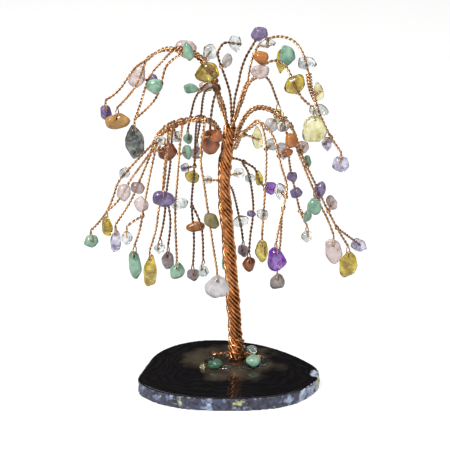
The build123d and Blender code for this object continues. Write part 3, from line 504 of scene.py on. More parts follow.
# Name, deep, pale and veils' colour, clearness, and for some also the drift, darkness and veils' share
FINISHES = {
    "amethyst": ("Amethyst", (0.09, 0.045, 0.17), (0.28, 0.21, 0.40), (0.62, 0.56, 0.74), 0.5),
    "amethyst_deep": (
        "Deep amethyst", (0.055, 0.005, 0.19), (0.32, 0.08, 0.62), (0.74, 0.60, 0.92), 0.7, 0.0035
    ),
    "amethyst_pale": (
        "Pale amethyst", (0.08, 0.05, 0.17), (0.78, 0.75, 0.88), (0.92, 0.90, 0.96), 0.92, 0.0026, 0.1
    ),
    "citrine": (
        "Citrine", (0.20, 0.115, 0.006), (0.90, 0.72, 0.09), (0.97, 0.90, 0.45), 0.9, 0.0032, 0.14
    ),
    "citrine_pale": (
        "Pale citrine", (0.42, 0.36, 0.10), (0.95, 0.92, 0.58), (0.98, 0.97, 0.80), 0.94, 0.0032
    ),
    "quartz": (
        "Clear quartz", (0.22, 0.26, 0.25), (0.96, 0.98, 0.97), (1.0, 1.0, 1.0), 0.97, 0.0024
    ),
    "quartz_green": (
        "Pale green quartz", (0.20, 0.32, 0.26), (0.74, 0.86, 0.79), (0.94, 0.98, 0.95), 0.85, 0.0030
    ),
    "quartz_smoky": (
        "Smoky quartz", (0.002, 0.003, 0.002), (0.72, 0.76, 0.72), (0.9, 0.92, 0.9), 0.97, 0.0030, 0.40, 0.2
    ),
    "rose": ("Rose quartz", (0.46, 0.33, 0.32), (0.80, 0.68, 0.66), (0.93, 0.88, 0.87), 0.55),
    "rose_white": ("White rose quartz", (0.50, 0.48, 0.49), (0.76, 0.74, 0.75), (0.92, 0.91, 0.91), 0.5),
    "mauve": ("Mauve quartz", (0.22, 0.16, 0.19), (0.44, 0.36, 0.38), (0.66, 0.60, 0.62), 0.35),
    "carnelian": ("Carnelian", (0.30, 0.085, 0.010), (0.58, 0.21, 0.035), (0.72, 0.40, 0.16), 0.3),
    "ochre": ("Ochre carnelian", (0.29, 0.13, 0.025), (0.50, 0.27, 0.07), (0.66, 0.44, 0.20), 0.2),
    "jasper": ("Red jasper", (0.15, 0.032, 0.009), (0.34, 0.095, 0.028), (0.48, 0.20, 0.09), 0.05),
    "olive": ("Olive jasper", (0.11, 0.08, 0.02), (0.28, 0.23, 0.08), (0.44, 0.40, 0.20), 0.3),
    "grey": ("Grey quartz", (0.15, 0.125, 0.115), (0.34, 0.30, 0.285), (0.54, 0.51, 0.50), 0.2),
    "aventurine": ("Green aventurine", (0.10, 0.25, 0.165), (0.26, 0.46, 0.33), (0.48, 0.66, 0.53), 0.12),
    "emerald": ("Dark green chips", (0.012, 0.065, 0.035), (0.06, 0.18, 0.105), (0.30, 0.46, 0.36), 0.25),
}
GEMS = {finish: make_gem(*look) for finish, look in FINISHES.items()}
print("Made", len(GEMS), "stone finishes")

# %% [markdown]
# ## Agate
# The slice's polished faces are nearly black with faint bands that follow its outline, and a brown, lighter
# heart with a soft, wavy edge. Its rim is the raw rind: slate-blue stone with pale crystal, moss-yellow spots
# and dark pits, and one pale wedge of crystal at the right. A point attribute holds each point's distance
# from the rim, so that the bands follow the outline.

# %%
HEART_CENTRE = (-1.6 * MM, -4.0 * MM, 5.0 * MM)
HEART_HALF = (18.5 * MM, 15.8 * MM, 9.0 * MM)
WEDGE_CENTRE = (25.5 * MM, -21.5 * MM, 2.5 * MM)
WEDGE_HALF = (8.0 * MM, 7.0 * MM, 8.0 * MM)
MOSS_CENTRE = (29.5 * MM, -14.0 * MM, 4.5 * MM)
MOSS_HALF = (3.0 * MM, 3.5 * MM, 5.0 * MM)
BAND_TURN = 2200.0


def reach_from(tree, centre, half, wander, size):
    """Distance from a centre, 1 on an oval with these half sizes, with a wandering edge."""
    place = node(tree, "ShaderNodeTexCoord").outputs["Object"]
    off = node(tree, "ShaderNodeVectorMath", {0: place, 1: centre}, operation="SUBTRACT").outputs[0]
    shares = node(tree, "ShaderNodeVectorMath", {0: off, 1: half}, operation="DIVIDE").outputs[0]
    reach = node(tree, "ShaderNodeVectorMath", {0: shares}, operation="LENGTH").outputs["Value"]
    shift = scaled(tree, mottle(tree, size, 11.0), -wander, wander)
    return calculate(tree, "ADD", reach, shift)


def moss_spot(tree):
    """1 in the mossy spot at the slice's right end."""
    return between(tree, reach_from(tree, MOSS_CENTRE, MOSS_HALF, 0.3, 0.003), 1.0, 0.8)


def make_agate_face():
    material, tree, shader = new_material("Polished agate")
    rim_way = node(tree, "ShaderNodeAttribute", attribute_name="from_rim").outputs["Fac"]
    wander = scaled(tree, mottle(tree, 0.010), -0.003, 0.003)
    ripple = calculate(tree, "MULTIPLY", calculate(tree, "ADD", rim_way, wander), BAND_TURN)
    wave = between(tree, calculate(tree, "SINE", ripple), -1.0, 1.0)
    patchy = calculate(tree, "MULTIPLY", wave, mottle(tree, 0.014, 5.0))
    black = mix(tree, patchy, (0.0045, 0.0042, 0.0052), (0.012, 0.0105, 0.0115))
    clouds = mottle(tree, 0.007, 2.0)
    heart = mix(tree, clouds, (0.027, 0.021, 0.016), (0.070, 0.056, 0.040))
    inner = between(tree, reach_from(tree, HEART_CENTRE, HEART_HALF, 0.20, 0.010), 1.0, 0.76)
    dark = mix(tree, inner, black, heart)
    facets = mottle(tree, 0.0015, 6.0)
    crystal = mix(tree, facets, (0.12, 0.15, 0.24), (0.62, 0.70, 0.82))
    dull_spots = mottle(tree, 0.003, 8.0)
    waves = mottle(tree, 0.006, 9.0)
    fill(tree, shader, {
        "Base Color": mix(tree, moss_spot(tree), dark, crystal),
        "Roughness": scaled(tree, dull_spots, 0.03, 0.10),
        "Specular IOR Level": 0.28,
        "Normal": bump(tree, waves, 0.05, 0.0002),
    })
    return material


def make_agate_rind():
    material, tree, shader = new_material("Agate rind")
    stone = mix(tree, mottle(tree, 0.0040), (0.016, 0.014, 0.020), (0.085, 0.10, 0.19))
    crust = between(tree, mottle(tree, 0.0040, 1.0), 0.58, 0.95)
    pale = mix(tree, crust, stone, (0.46, 0.56, 0.80))
    moss = between(tree, mottle(tree, 0.0046, 7.0), 0.84, 0.98)
    tinged = mix(tree, moss, pale, (0.60, 0.64, 0.30))
    facets = mottle(tree, 0.0018, 6.0)
    crystal = mix(tree, facets, (0.20, 0.25, 0.42), (0.66, 0.74, 0.88))
    wedge = between(tree, reach_from(tree, WEDGE_CENTRE, WEDGE_HALF, 0.25, 0.004), 1.0, 0.85)
    icy = mix(tree, wedge, tinged, crystal)
    mossy = mix(tree, moss_spot(tree), icy, (0.66, 0.66, 0.26))
    pits = between(tree, effect(tree, GRAIN, Size=0.0014), 0.60, 0.85)
    dull_spots = mottle(tree, 0.001, 4.0)
    rough = effect(tree, GRAIN, Size=0.0011)
    fill(tree, shader, {
        "Base Color": mix(tree, pits, mossy, (0.020, 0.016, 0.018)),
        "Roughness": scaled(tree, dull_spots, 0.22, 0.6),
        "Normal": bump(tree, rough, 0.8, 0.0004),
    })
    return material


AGATE_FACE = make_agate_face()
AGATE_RIND = make_agate_rind()
GLUE = make_gem("Clear glue", (0.88, 0.92, 0.84), (0.97, 0.98, 0.95), (1.0, 1.0, 1.0), 1.0, veil=0.2)
print("Made", AGATE_FACE.name, AGATE_RIND.name, "and", GLUE.name)

# %% [markdown]
# ## Ways of working
# Small helpers: choose pieces, copy a solid's mesh, apply modifiers, join, and hand a finished piece to its
# body. A smooth line is a spline whose control points are the route's points.

# %%
SAME_PLACE = 0.001 * MM
WIRE_CREASE = 50
LINE_ORDER = 3
LINE_STEPS = 8
ROUND_STEPS = 2


def choose(*pieces):
    bpy.ops.object.select_all(action="DESELECT")
    for piece in pieces:
        piece.select_set(True)
    bpy.context.view_layer.objects.active = pieces[0]


def open_mesh(piece):
    """Starts to edit a piece's mesh, with all of it selected."""
    choose(piece)
    bpy.ops.object.mode_set(mode="EDIT")
    bpy.ops.mesh.select_all(action="SELECT")


def close_mesh():
    bpy.ops.object.mode_set(mode="OBJECT")


def copy_of(node_name, name):
    """New piece with a node's mesh, its doubled points merged."""
    piece = add_object(name, frame["nodes"][node_name].data.copy())
    open_mesh(piece)
    bpy.ops.mesh.remove_doubles(threshold=SAME_PLACE)
    close_mesh()
    return piece


def refine(piece, voxel):
    """Adds an even, fine mesh to a piece's modifiers."""
    fine = piece.modifiers.new("Fine", "REMESH")
    fine.mode = "VOXEL"
    fine.voxel_size = voxel


def apply_modifiers(piece):
    choose(piece)
    for modifier in list(piece.modifiers):
        bpy.ops.object.modifier_apply(modifier=modifier.name)


def join(name, pieces):
    choose(*pieces)
    if len(pieces) > 1:
        bpy.ops.object.join()
    pieces[0].name = name
    pieces[0].data.name = name
    return pieces[0]


def close_ends(piece):
    """Fills the open ends of tubes, and shades the piece smooth."""
    open_mesh(piece)
    bpy.ops.mesh.fill_holes(sides=0)
    bpy.ops.mesh.select_all(action="SELECT")
    bpy.ops.mesh.normals_make_consistent(inside=False)
    close_mesh()
    bpy.ops.object.shade_smooth_by_angle(angle=radians(WIRE_CREASE))


def hand_over(piece, material, body, slot, *nodes):
    """Finished piece: its material, the body it rides on, its slot, which is not used, and the nodes it
    stands for.
    """
    piece.data.materials.clear()
    piece.data.materials.append(material)
    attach(piece, body)
    if nodes:
        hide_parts(*nodes)


def spline(points, closed=False):
    """Curve object with these control points."""
    curve = bpy.data.curves.new("Line", "CURVE")
    curve.dimensions = "3D"
    line = curve.splines.new("NURBS")
    line.points.add(len(points) - 1)
    for place, point in zip(line.points, points):
        place.co = (*point, 1.0)
    line.order_u = LINE_ORDER
    line.use_endpoint_u = not closed
    line.use_cyclic_u = closed
    line.resolution_u = LINE_STEPS
    return add_object("Line", curve)


def points_of(line):
    mesh = bpy.data.meshes.new_from_object(line)
    points = [vertex.co.copy() for vertex in mesh.vertices]
    bpy.data.meshes.remove(mesh)
    return points


def smooth(points):
    """Points along the smooth line of a route."""
    line = spline(points)
    found = points_of(line)
    bpy.data.objects.remove(line)
    return found


def length_of(points):
    return sum((after - before).length for before, after in zip(points, points[1:]))


def tube(points, radius, closed=False):
    """Single wire along a smooth line."""
    line = spline(points, closed)
    line.data.bevel_depth = radius
    line.data.bevel_resolution = ROUND_STEPS
    line.data.use_fill_caps = not closed
    choose(line)
    bpy.ops.object.convert(target="MESH")
    return bpy.context.object


def wind(centre, ring_at, pitch, start):
    """Points that wind left-handed round a centre line; ring_at gives the ring's radius along it."""
    total = length_of(centre)
    heading = (centre[1] - centre[0]).normalized()
    side = Vector((0, 1, 0)).cross(heading).normalized()
    travel = 0.0
    found = []
    for index, point in enumerate(centre):
        before = centre[max(index - 1, 0)]
        after = centre[min(index + 1, len(centre) - 1)]
        heading = (after - before).normalized()
        side = (side - heading * side.dot(heading)).normalized()
        travel += (point - before).length
        angle = start - tau * travel / pitch
        ring = ring_at(travel / total)
        found.append(point + side * (ring * cos(angle)) + heading.cross(side) * (ring * sin(angle)))
    return found


print("Helpers are ready")

# %% [markdown]
# ## One lay of twisted wire
# The crafter doubles the wire and twists it. One full turn is modelled once: two rings extruded side by
# side along X, then twisted a full left-handed turn. Repeated and bent along a route, it makes any twig.

# %%
LAY_STEPS = 12
WIRE_FACES = 8
MERGE_REACH = 0.02 * MM
TWIG_WIRE = 0.26 * MM
TWIG_LAY = 3.0 * MM
ROOT_WIRE = 0.36 * MM
ROOT_LAY = 3.6 * MM


def make_lay(name, radius, lay):
    """One turn of a twisted pair of wires, along X."""
    ring = {"vertices": WIRE_FACES, "radius": radius, "rotation": (0, pi / 2, 0)}
    bpy.ops.object.select_all(action="DESELECT")
    bpy.ops.mesh.primitive_circle_add(location=(0, radius, 0), **ring)
    pair = bpy.context.object
    bpy.ops.object.transform_apply(location=True, rotation=True, scale=True)
    bpy.ops.object.mode_set(mode="EDIT")
    bpy.ops.mesh.primitive_circle_add(location=(0, -radius, 0), **ring)
    bpy.ops.mesh.select_all(action="SELECT")
    for step in range(LAY_STEPS):
        bpy.ops.mesh.extrude_region_move(TRANSFORM_OT_translate={"value": (lay / LAY_STEPS, 0, 0)})
    close_mesh()
    twist = pair.modifiers.new("Twist", "SIMPLE_DEFORM")
    twist.deform_method = "TWIST"
    twist.deform_axis = "X"
    twist.angle = -tau
    apply_modifiers(pair)
    pair.name = name
    return pair


def lay_along(unit, points):
    """The twisted pair repeated along a smooth line and bent to it, with a whole number of turns."""
    line = spline(points)
    length = length_of(points_of(line))
    unit_length = unit.dimensions.x
    turns = max(1, round(length / unit_length))
    piece = add_object("Twig", unit.data.copy())
    piece.data.transform(Matrix.Scale(length / (turns * unit_length), 4, (1, 0, 0)))
    repeat = piece.modifiers.new("Repeat", "ARRAY")
    repeat.count = turns
    repeat.use_merge_vertices = True
    repeat.merge_threshold = MERGE_REACH
    bend = piece.modifiers.new("Bend", "CURVE")
    bend.object = line
    apply_modifiers(piece)
    bpy.data.objects.remove(line)
    return piece


twig_lay = make_lay("Twig_lay", TWIG_WIRE, TWIG_LAY)
root_lay = make_lay("Root_lay", ROOT_WIRE, ROOT_LAY)
print("Twig lay has", len(twig_lay.data.polygons), "faces")

# %% [markdown]
# ## Trunk
# Nine strands are laid left-handed round the core, as the solids are, and splay where they meet the slice.
# A bundle that is twisted by hand is never even, so some strands are thicker and some stand a little proud.
# The core keeps its solid.

# %%
TRUNK_PITCH = 17.0 * MM
FOOT_RING = 2.12 * MM
TOP_RING = 1.70 * MM
SPLAY = 0.8 * MM
SPLAY_SHARE = 0.07
STRANDS = 9
STRAND_RADIUS = 0.57 * MM
STRAND_UNEVEN = 0.13 * MM
UNEVEN_STEP = 4
PROUD = 0.20 * MM
PROUD_WAVES = 5


def trunk_ring(strand):
    """Function that gives a strand's distance from the trunk's middle along the trunk."""
    def ring(share):
        splay = SPLAY * max(0.0, 1 - share / SPLAY_SHARE) ** 2
        wave = PROUD * sin(tau * (PROUD_WAVES * share + strand * strand / STRANDS))
        return FOOT_RING + (TOP_RING - FOOT_RING) * share + splay + wave
    return ring


trunk_route = [Vector((0, 0, SLICE_TOP * MM))] + [at(across, up, 0) for across, up in TRUNK_ROUTE]
trunk_line = smooth(trunk_route)
strands = []
for strand in range(STRANDS):
    path = wind(trunk_line, trunk_ring(strand), TRUNK_PITCH, tau * strand / STRANDS)
    strands.append(tube(path, STRAND_RADIUS + STRAND_UNEVEN * cos(UNEVEN_STEP * strand)))
trunk = join("laid_trunk", strands)
close_ends(trunk)
hand_over(trunk, TRUNK_COPPER, "tree", "copper_wire", "trunk_strands")
core = frame["nodes"]["trunk_core"]
core.data.materials.clear()
core.data.materials.append(TRUNK_COPPER)
print("Trunk:", len(trunk.data.polygons), "faces")

# %% [markdown]
# ## Paths of the wires
# Wires of one limb wind round each other until each leaves as its own twig. A wire that carries a hanging
# stone ends at the top of the eye that the stone swings on. The eye's place comes from the stone's joint.

# %%
LIMB_SPACING = 1.0 * MM
LIMB_PITCH = 26.0 * MM
SEAT_RING = 1.3 * MM
SEAT_DEPTH = 4.0 * MM
BORE_TO_TOP = 1.75 * MM
SWING = 25.0
EYE_HEADROOM = 1.5 * MM
EYE_RADIUS = 0.24 * MM
EYE_SIDE_GAP = 0.35 * MM
EYE_STRAIGHT = 0.92

eye_rise = BORE_TO_TOP / cos(radians(SWING)) + EYE_HEADROOM
SHARED_EYE = {"quartz_drop_back": "quartz_drop"}
FROM_TOP = {*TOP_SEATS, "crest"}
joints = {joint["name"].removesuffix("_swing"): joint for joint in frame["joints"]}
pendant_of_wire = {PENDANT_WIRE.get(name, name): name for name in joints}
limb_lines = {limb: smooth(along_sheet(points)) for limb, points in LIMB_ROUTES.items()}
limb_rings = {limb: LIMB_SPACING / (2 * sin(pi / max(len(wires), 2))) for limb, wires in LIMB_WIRES.items()}


def limb_path(limb, order, stop):
    """Part of a wire's path that winds round its limb, up to the point where it leaves."""
    wires = LIMB_WIRES[limb]
    line = limb_lines[limb]
    kept = round(len(line) * stop / len(LIMB_ROUTES[limb]))
    start = radians(LIMB_PLACE_TURN[limb]) + tau * order / len(wires)
    return wind(line, lambda share: limb_rings[limb], LIMB_PITCH, start)[:kept]


def wire_path(wire):
    """Control points of one wire, from the trunk or its carrier to its free end or its eye."""
    path = []
    top = trunk_line[-1]
    if wire in FROM_TOP:
        ring = SEAT_RING if wire in TOP_SEATS else 0.0
        turn = radians(TOP_SEATS.get(wire, 0))
        path.append(top + Vector((ring * cos(turn), ring * sin(turn), -SEAT_DEPTH)))
        path.append(top + Vector((ring * cos(turn), ring * sin(turn), 0)))
    for limb, wires in LIMB_WIRES.items():
        if wire in wires:
            stop = LEAVES_AFTER.get(wire, len(LIMB_ROUTES[limb]))
            path.extend(limb_path(limb, wires.index(wire), stop))
    path.extend(along_sheet(TWIG_ROUTES[wire]))
    ends_at = pendant_of_wire.get(wire) or SHARED_EYE.get(wire)
    if ends_at:
        path.append(Vector(joints[ends_at]["pos_m"]) + UP * eye_rise)
    return path


wire_paths = {wire: wire_path(wire) for wire in TWIG_ROUTES}
print("Paths:", len(wire_paths), "wires, of which", len(pendant_of_wire), "end in an eye")

# %% [markdown]
# ## Eyes and bindings
# An eye is a single wire that runs through the stone's bore and closes above it. Where a wire starts beside
# another, a short coil of thin wire binds the two. A limb's wires come out of the trunk's middle, and two
# thicker strands are wound round a length of one twig.

# %%
COIL_RADIUS = 0.17 * MM
COIL_TURNS = 2.5
COIL_POINTS = 10
COIL_RISE = 2.2
TWIG_REACH = 0.5 * MM
TURN_STRANDS = 2
TURN_LAY = 2.2 * MM
TURN_RADIUS = 0.34 * MM
TURN_WIDE_RING = 0.80 * MM
TURN_NARROW_RING = 0.48 * MM
WRAPPED_TWIGS = {"arc": (5, 7)}
LIMB_ROOT = 1.5 * MM
SINK = 0.6 * MM
OWN_LINE = 1.2 * MM

carriers = [(line, limb_rings[limb] + TWIG_REACH) for limb, line in limb_lines.items()]
carriers += [(smooth(along_sheet(points)), TWIG_REACH) for points in TWIG_ROUTES.values()]
carriers.append((trunk_line, FOOT_RING + TWIG_REACH))


def make_eye(name):
    joint = joints[name]
    hole = Vector(joint["pos_m"])
    axis = Vector(joint["axis"])
    mesh = frame["nodes"]["hanging_" + name].data
    reach = max(abs((vertex.co - hole).dot(axis)) for vertex in mesh.vertices)
    front = axis * (reach + EYE_SIDE_GAP + EYE_RADIUS)
    top = hole + UP * eye_rise
    shoulder = top - UP * (front.length / 2)
    through = [hole + front, hole + front * EYE_STRAIGHT, hole - front * EYE_STRAIGHT, hole - front]
    return tube(through + [shoulder - front, top, shoulder + front], EYE_RADIUS, closed=True)


def nearest_carrier(place, skip_within=0.0):
    """Nearest carrier's point, direction and radius, leaving out lines that start at the place itself."""
    best = None
    for line, radius in carriers:
        if (line[0] - place).length < skip_within:
            continue
        for before, after in zip(line, line[1:]):
            gap = (before - place).length - radius
            if best is None or gap < best[0]:
                best = (gap, before, (after - before).normalized(), radius)
    return best[1:]


def inside_carrier(place, centre, radius):
    """Place moved straight towards a carrier's middle until it is inside the carrier."""
    way = centre - place
    return place + way.normalized() * (max(way.length - radius, 0.0) + SINK)


def nearest_index(line, place):
    return min(range(len(line)), key=lambda index: (line[index] - place).length)


def limb_root(place):
    """Point in the trunk's middle, a little below the place where a limb's wire comes out."""
    return trunk_line[nearest_index(trunk_line, place)] - UP * LIMB_ROOT


def turn_ring(share):
    return TURN_WIDE_RING + (TURN_NARROW_RING - TURN_WIDE_RING) * share


def make_wrap(path, first, last):
    """Strands wound round a twig between two places, in turns that grow narrower."""
    line = smooth(path)
    part = smooth(line[nearest_index(line, first):nearest_index(line, last) + 1])
    starts = [tau * strand / TURN_STRANDS for strand in range(TURN_STRANDS)]
    return [tube(wind(part, turn_ring, TURN_LAY, start), TURN_RADIUS) for start in starts]


def make_coil(centre, heading, ring):
    side = heading.orthogonal().normalized()
    second = heading.cross(side)
    steps = round(COIL_TURNS * COIL_POINTS)
    points = []
    for step in range(steps + 1):
        angle = -tau * step / COIL_POINTS
        rise = COIL_RISE * COIL_RADIUS * COIL_TURNS * (step / steps - 0.5)
        points.append(centre + side * (ring * cos(angle)) + second * (ring * sin(angle)) + heading * rise)
    return tube(points, COIL_RADIUS)


print("Carriers for bindings:", len(carriers))

# %% [markdown]
# ## Twigs
# Each group of wires becomes one piece: its twisted twigs, their eyes, and the bindings where twigs start.
# A twig that comes straight out of the trunk needs no binding.

# %%
# Groups behind the trunk get the darker copper, as painted shade
SHADED_GROUPS = ["crown_top_wires", "crown_back_wires", "mid_left_back_wires", "low_right_wires"]
for group, wires in WIRE_GROUPS.items():
    made = []
    for wire in wires:
        path = wire_paths[wire]
        centre, heading, radius = nearest_carrier(path[0], OWN_LINE)
        on_limb = any(wire in names for names in LIMB_WIRES.values())
        starts_low = wire not in FROM_TOP
        if starts_low:
            start = limb_root(path[0]) if on_limb else inside_carrier(path[0], centre, radius)
            path = [start] + path
        made.append(lay_along(twig_lay, path))
        if wire in pendant_of_wire:
            made.append(make_eye(pendant_of_wire[wire]))
        if wire in WRAPPED_TWIGS:
            first, last = WRAPPED_TWIGS[wire]
            route = along_sheet(TWIG_ROUTES[wire])
            made.extend(make_wrap(path, route[first], route[last]))
        if starts_low and not on_limb and radius < FOOT_RING:
            made.append(make_coil(centre, heading, radius + COIL_RADIUS))
    twigs = join("twisted_" + group, made)
    close_ends(twigs)
    hand_over(twigs, SHADED_COPPER if group in SHADED_GROUPS else COPPER, "tree", "copper_wire", group)
    print(group, len(twigs.data.polygons), "faces")

# %% [markdown]
# ## Stubs
# Stones that are not strung sit on a short twisted stub. Each stub's two ends are read from its solid, and
# its foot is bound to the wire that carries it.

# %%


def loose_parts(node_name):
    """Separate pieces of a copy of a node's mesh."""
    open_mesh(copy_of(node_name, node_name + "_part"))
    bpy.ops.mesh.separate(type="LOOSE")
    close_mesh()
    return list(bpy.context.selected_objects)


def ends_of(piece):
    """Middles of a straight bar's two ends."""
    points = [vertex.co.copy() for vertex in piece.data.vertices]
    middle = sum(points, Vector()) / len(points)
    first = max(points, key=lambda point: (point - middle).length)
    reach = first - middle
    near = [point for point in points if (point - middle).dot(reach) > 0]
    far = [point for point in points if (point - middle).dot(reach) <= 0]
    return sum(near, Vector()) / len(near), sum(far, Vector()) / len(far)


made = []
for bar in loose_parts("stone_stubs"):
    ends = ends_of(bar)
    feet = [nearest_carrier(end) for end in ends]
    gaps = [(foot[0] - end).length - foot[2] for foot, end in zip(feet, ends)]
    low = 0 if gaps[0] < gaps[1] else 1
    centre, heading, radius = feet[low]
    foot, head = ends[low], ends[1 - low]
    sunk = inside_carrier(foot, centre, radius)
    made.append(lay_along(twig_lay, [sunk, (sunk + head) / 2, head]))
    if radius < FOOT_RING:
        made.append(make_coil(centre, heading, radius + COIL_RADIUS))
    bpy.data.objects.remove(bar)
stubs = join("twisted_stubs", made)
close_ends(stubs)
hand_over(stubs, COPPER, "tree", "copper_wire", "stone_stubs")
print("Stubs:", len(stubs.data.polygons), "faces")

# %% [markdown]
# ## Roots and the wrap at the foot
# Three root wires lie over the glue, and two loose strands run down round the foot of the trunk.

# %%
WRAP_STRANDS = 2
WRAP_TURNS = 1.3
WRAP_BASE = 6.5 * MM
WRAP_PITCH = 5.2 * MM
WRAP_RING = 3.25 * MM
WRAP_TAPER = 0.75 * MM
WRAP_RADIUS = 0.5 * MM

roots = []
for route in ROOT_ROUTES:
    path = [Vector((x, y, GLUE_TOP + height)) * MM for x, y, height in route]
    roots.append(lay_along(root_lay, path))
root_piece = join("twisted_roots", roots)
close_ends(root_piece)
hand_over(root_piece, COPPER, "tree", "copper_wire", "root_wires")

wraps = []
for strand in range(WRAP_STRANDS):
    points = []
    for step in range(round(WRAP_TURNS * COIL_POINTS) + 1):
        turns = step / COIL_POINTS
        angle = tau * (strand / WRAP_STRANDS - turns)
        ring = WRAP_RING - WRAP_TAPER * turns / WRAP_TURNS
        points.append(Vector((ring * cos(angle), ring * sin(angle), WRAP_BASE + WRAP_PITCH * turns)))
    wraps.append(tube(points, WRAP_RADIUS))
wrap = join("foot_wrap", wraps)
close_ends(wrap)
hand_over(wrap, TRUNK_COPPER, "tree", "copper_wire")
print("Roots and wrap:", len(root_piece.data.polygons) + len(wrap.data.polygons), "faces")

# %% [markdown]
# ## Tumbled stones
# Tumbling rounds every edge, and a large stone's edges most. The hull of each stone's solid is remeshed
# finely and smoothed, then stretched back to just under the size that it had and given shallow lumps, so each
# stone keeps its place and outline. The stones of one node get their finishes from left to right, as the
# photograph shows them.

# %%
STONE_VOXEL = 0.28 * MM
LUMP_SIZE = 3.2 * MM
LUMP_HEIGHT = 0.45 * MM
LUMP_LEVEL = 0.5
WEAR = 40
WEAR_SIZE = 5.0 * MM
MOST_WEAR = 170
KEPT_SIZE = 0.97
lumps = bpy.data.textures.new("Lumps", "CLOUDS")
lumps.noise_scale = LUMP_SIZE
lumps.noise_depth = 1


def roughen(piece, texture, height, level):
    """Adds lumps from a texture to a piece's modifiers; at this level of the texture nothing moves."""
    uneven = piece.modifiers.new("Uneven", "DISPLACE")
    uneven.texture = texture
    uneven.texture_coords = "LOCAL"
    uneven.strength = height
    uneven.mid_level = level
    return uneven


def box_of(piece):
    """Middle and size of the box round a piece."""
    places = [vertex.co for vertex in piece.data.vertices]
    low = Vector([min(place[side] for place in places) for side in range(3)])
    high = Vector([max(place[side] for place in places) for side in range(3)])
    return (low + high) / 2, high - low


def fit_box(piece, middle, size):
    """Moves and stretches a piece so that its box has this middle and size."""
    now_middle, now_size = box_of(piece)
    stretch = Matrix.Diagonal([size[side] / now_size[side] for side in range(3)]).to_4x4()
    piece.data.transform(Matrix.Translation(middle) @ stretch @ Matrix.Translation(-now_middle))


def tumble(piece):
    """Rounds one stone: hull, fine mesh, wear, nearly its old size, and lumps."""
    open_mesh(piece)
    bpy.ops.mesh.convex_hull()
    close_mesh()
    middle, size = box_of(piece)
    refine(piece, STONE_VOXEL)
    worn = piece.modifiers.new("Worn", "SMOOTH")
    worn.iterations = min(MOST_WEAR, round(WEAR * (max(size) / WEAR_SIZE) ** 2))
    apply_modifiers(piece)
    fit_box(piece, middle, size * KEPT_SIZE)
    roughen(piece, lumps, LUMP_HEIGHT, LUMP_LEVEL)
    apply_modifiers(piece)
    bpy.ops.object.shade_smooth()


def centre_of(piece):
    return sum((vertex.co for vertex in piece.data.vertices), Vector()) / len(piece.data.vertices)


def tumble_group(node_name, finishes):
    """All stones of a node as one piece, with their finishes from left to right."""
    stones = sorted(loose_parts(node_name), key=lambda part: centre_of(part).x)
    for order, stone in enumerate(stones):
        tumble(stone)
        stone.data.materials.clear()
        stone.data.materials.append(GEMS[finishes[order]])
    return join("tumbled_" + node_name, stones)


STONE_GROUPS = {
    "amethyst_stones": (
        ["amethyst", "amethyst_pale", "amethyst", "amethyst", "amethyst_deep"]
        + ["amethyst", "amethyst", "amethyst", "amethyst_pale", "amethyst_pale"],
        "amethyst",
    ),
    "citrine_stones": (
        ["citrine", "citrine", "citrine_pale", "citrine", "citrine", "citrine", "citrine_pale"],
        "citrine",
    ),
    "clear_quartz_stones": (["quartz"] * 16, "clear_quartz"),
    "rose_quartz_stones": (
        ["rose"] * 6 + ["rose_white", "rose"] + ["rose_white"] * 3 + ["rose"] * 2,
        "rose_quartz",
    ),
    "carnelian_stones": (["carnelian", "jasper", "carnelian", "carnelian"], "carnelian"),
    "jasper_stones": (["jasper", "olive", "jasper"], "jasper"),
    "aventurine_stones": (["aventurine"] * 8, "aventurine"),
    "foot_stones": (["citrine_pale", "emerald", "quartz_green", "aventurine"], "aventurine"),
}
for node_name, (finishes, slot) in STONE_GROUPS.items():
    stones = tumble_group(node_name, finishes)
    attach(stones, "tree")
    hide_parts(node_name)
    print(node_name, len(stones.data.polygons), "faces")

# %% [markdown]
# ## Hanging stones
# Each rides on its own body and swings on its eye. Their colours follow the photograph one by one. Their
# holes are drilled after the tumbling, as on the bench, with a cutter along the joint's axis.

# %%
DRILL_RADIUS = 0.55 * MM
DRILL_LENGTH = 14.0 * MM
DRILL_SIDES = 20
STONE_CREASE = 40
# Each finish's slot and the stones that have it
HANGING = {
    "amethyst": ("amethyst", ["amethyst_west", "amethyst_oval"]),
    "amethyst_deep": ("amethyst", ["amethyst_big"]),
    "amethyst_pale": ("amethyst", ["amethyst_east", "amethyst_low_west"]),
    "ochre": ("carnelian", ["carnelian_west"]),
    "quartz_smoky": ("smoky_quartz", ["quartz_drop"]),
    "grey": ("smoky_quartz", ["grey_pebble"]),
    "citrine": ("citrine", ["citrine_west", "citrine_long", "citrine_drop", "citrine_east"]),
    "citrine_pale": ("citrine", ["citrine_pear", "pale_citrine"]),
    "aventurine": ("aventurine", ["green_disc", "green_drop", "green_low", "green_behind", "green_back"]),
    "quartz": ("clear_quartz", ["quartz_low_west", "quartz_green", "quartz_back", "quartz_east"]),
    "mauve": ("rose_quartz", ["rose_grey", "rose_back", "rose_centre", "mauve_back"]),
    "rose_white": ("rose_quartz", ["rose_white"]),
    "rose": ("rose_quartz", ["rose_east"]),
    "jasper": ("jasper", ["carnelian_point", "jasper_big"]),
}
look_of = {name: (finish, slot) for finish, (slot, names) in HANGING.items() for name in names}


def drill(stone, joint):
    """Cuts the stone's hole along its joint's axis."""
    axis = Vector(joint["axis"])
    bpy.ops.mesh.primitive_cylinder_add(
        vertices=DRILL_SIDES,
        radius=DRILL_RADIUS,
        depth=DRILL_LENGTH,
        location=joint["pos_m"],
        rotation=axis.to_track_quat("Z", "Y").to_euler(),
    )
    cutter = bpy.context.object
    cut = stone.modifiers.new("Hole", "BOOLEAN")
    cut.operation = "DIFFERENCE"
    cut.object = cutter
    apply_modifiers(stone)
    bpy.data.objects.remove(cutter)


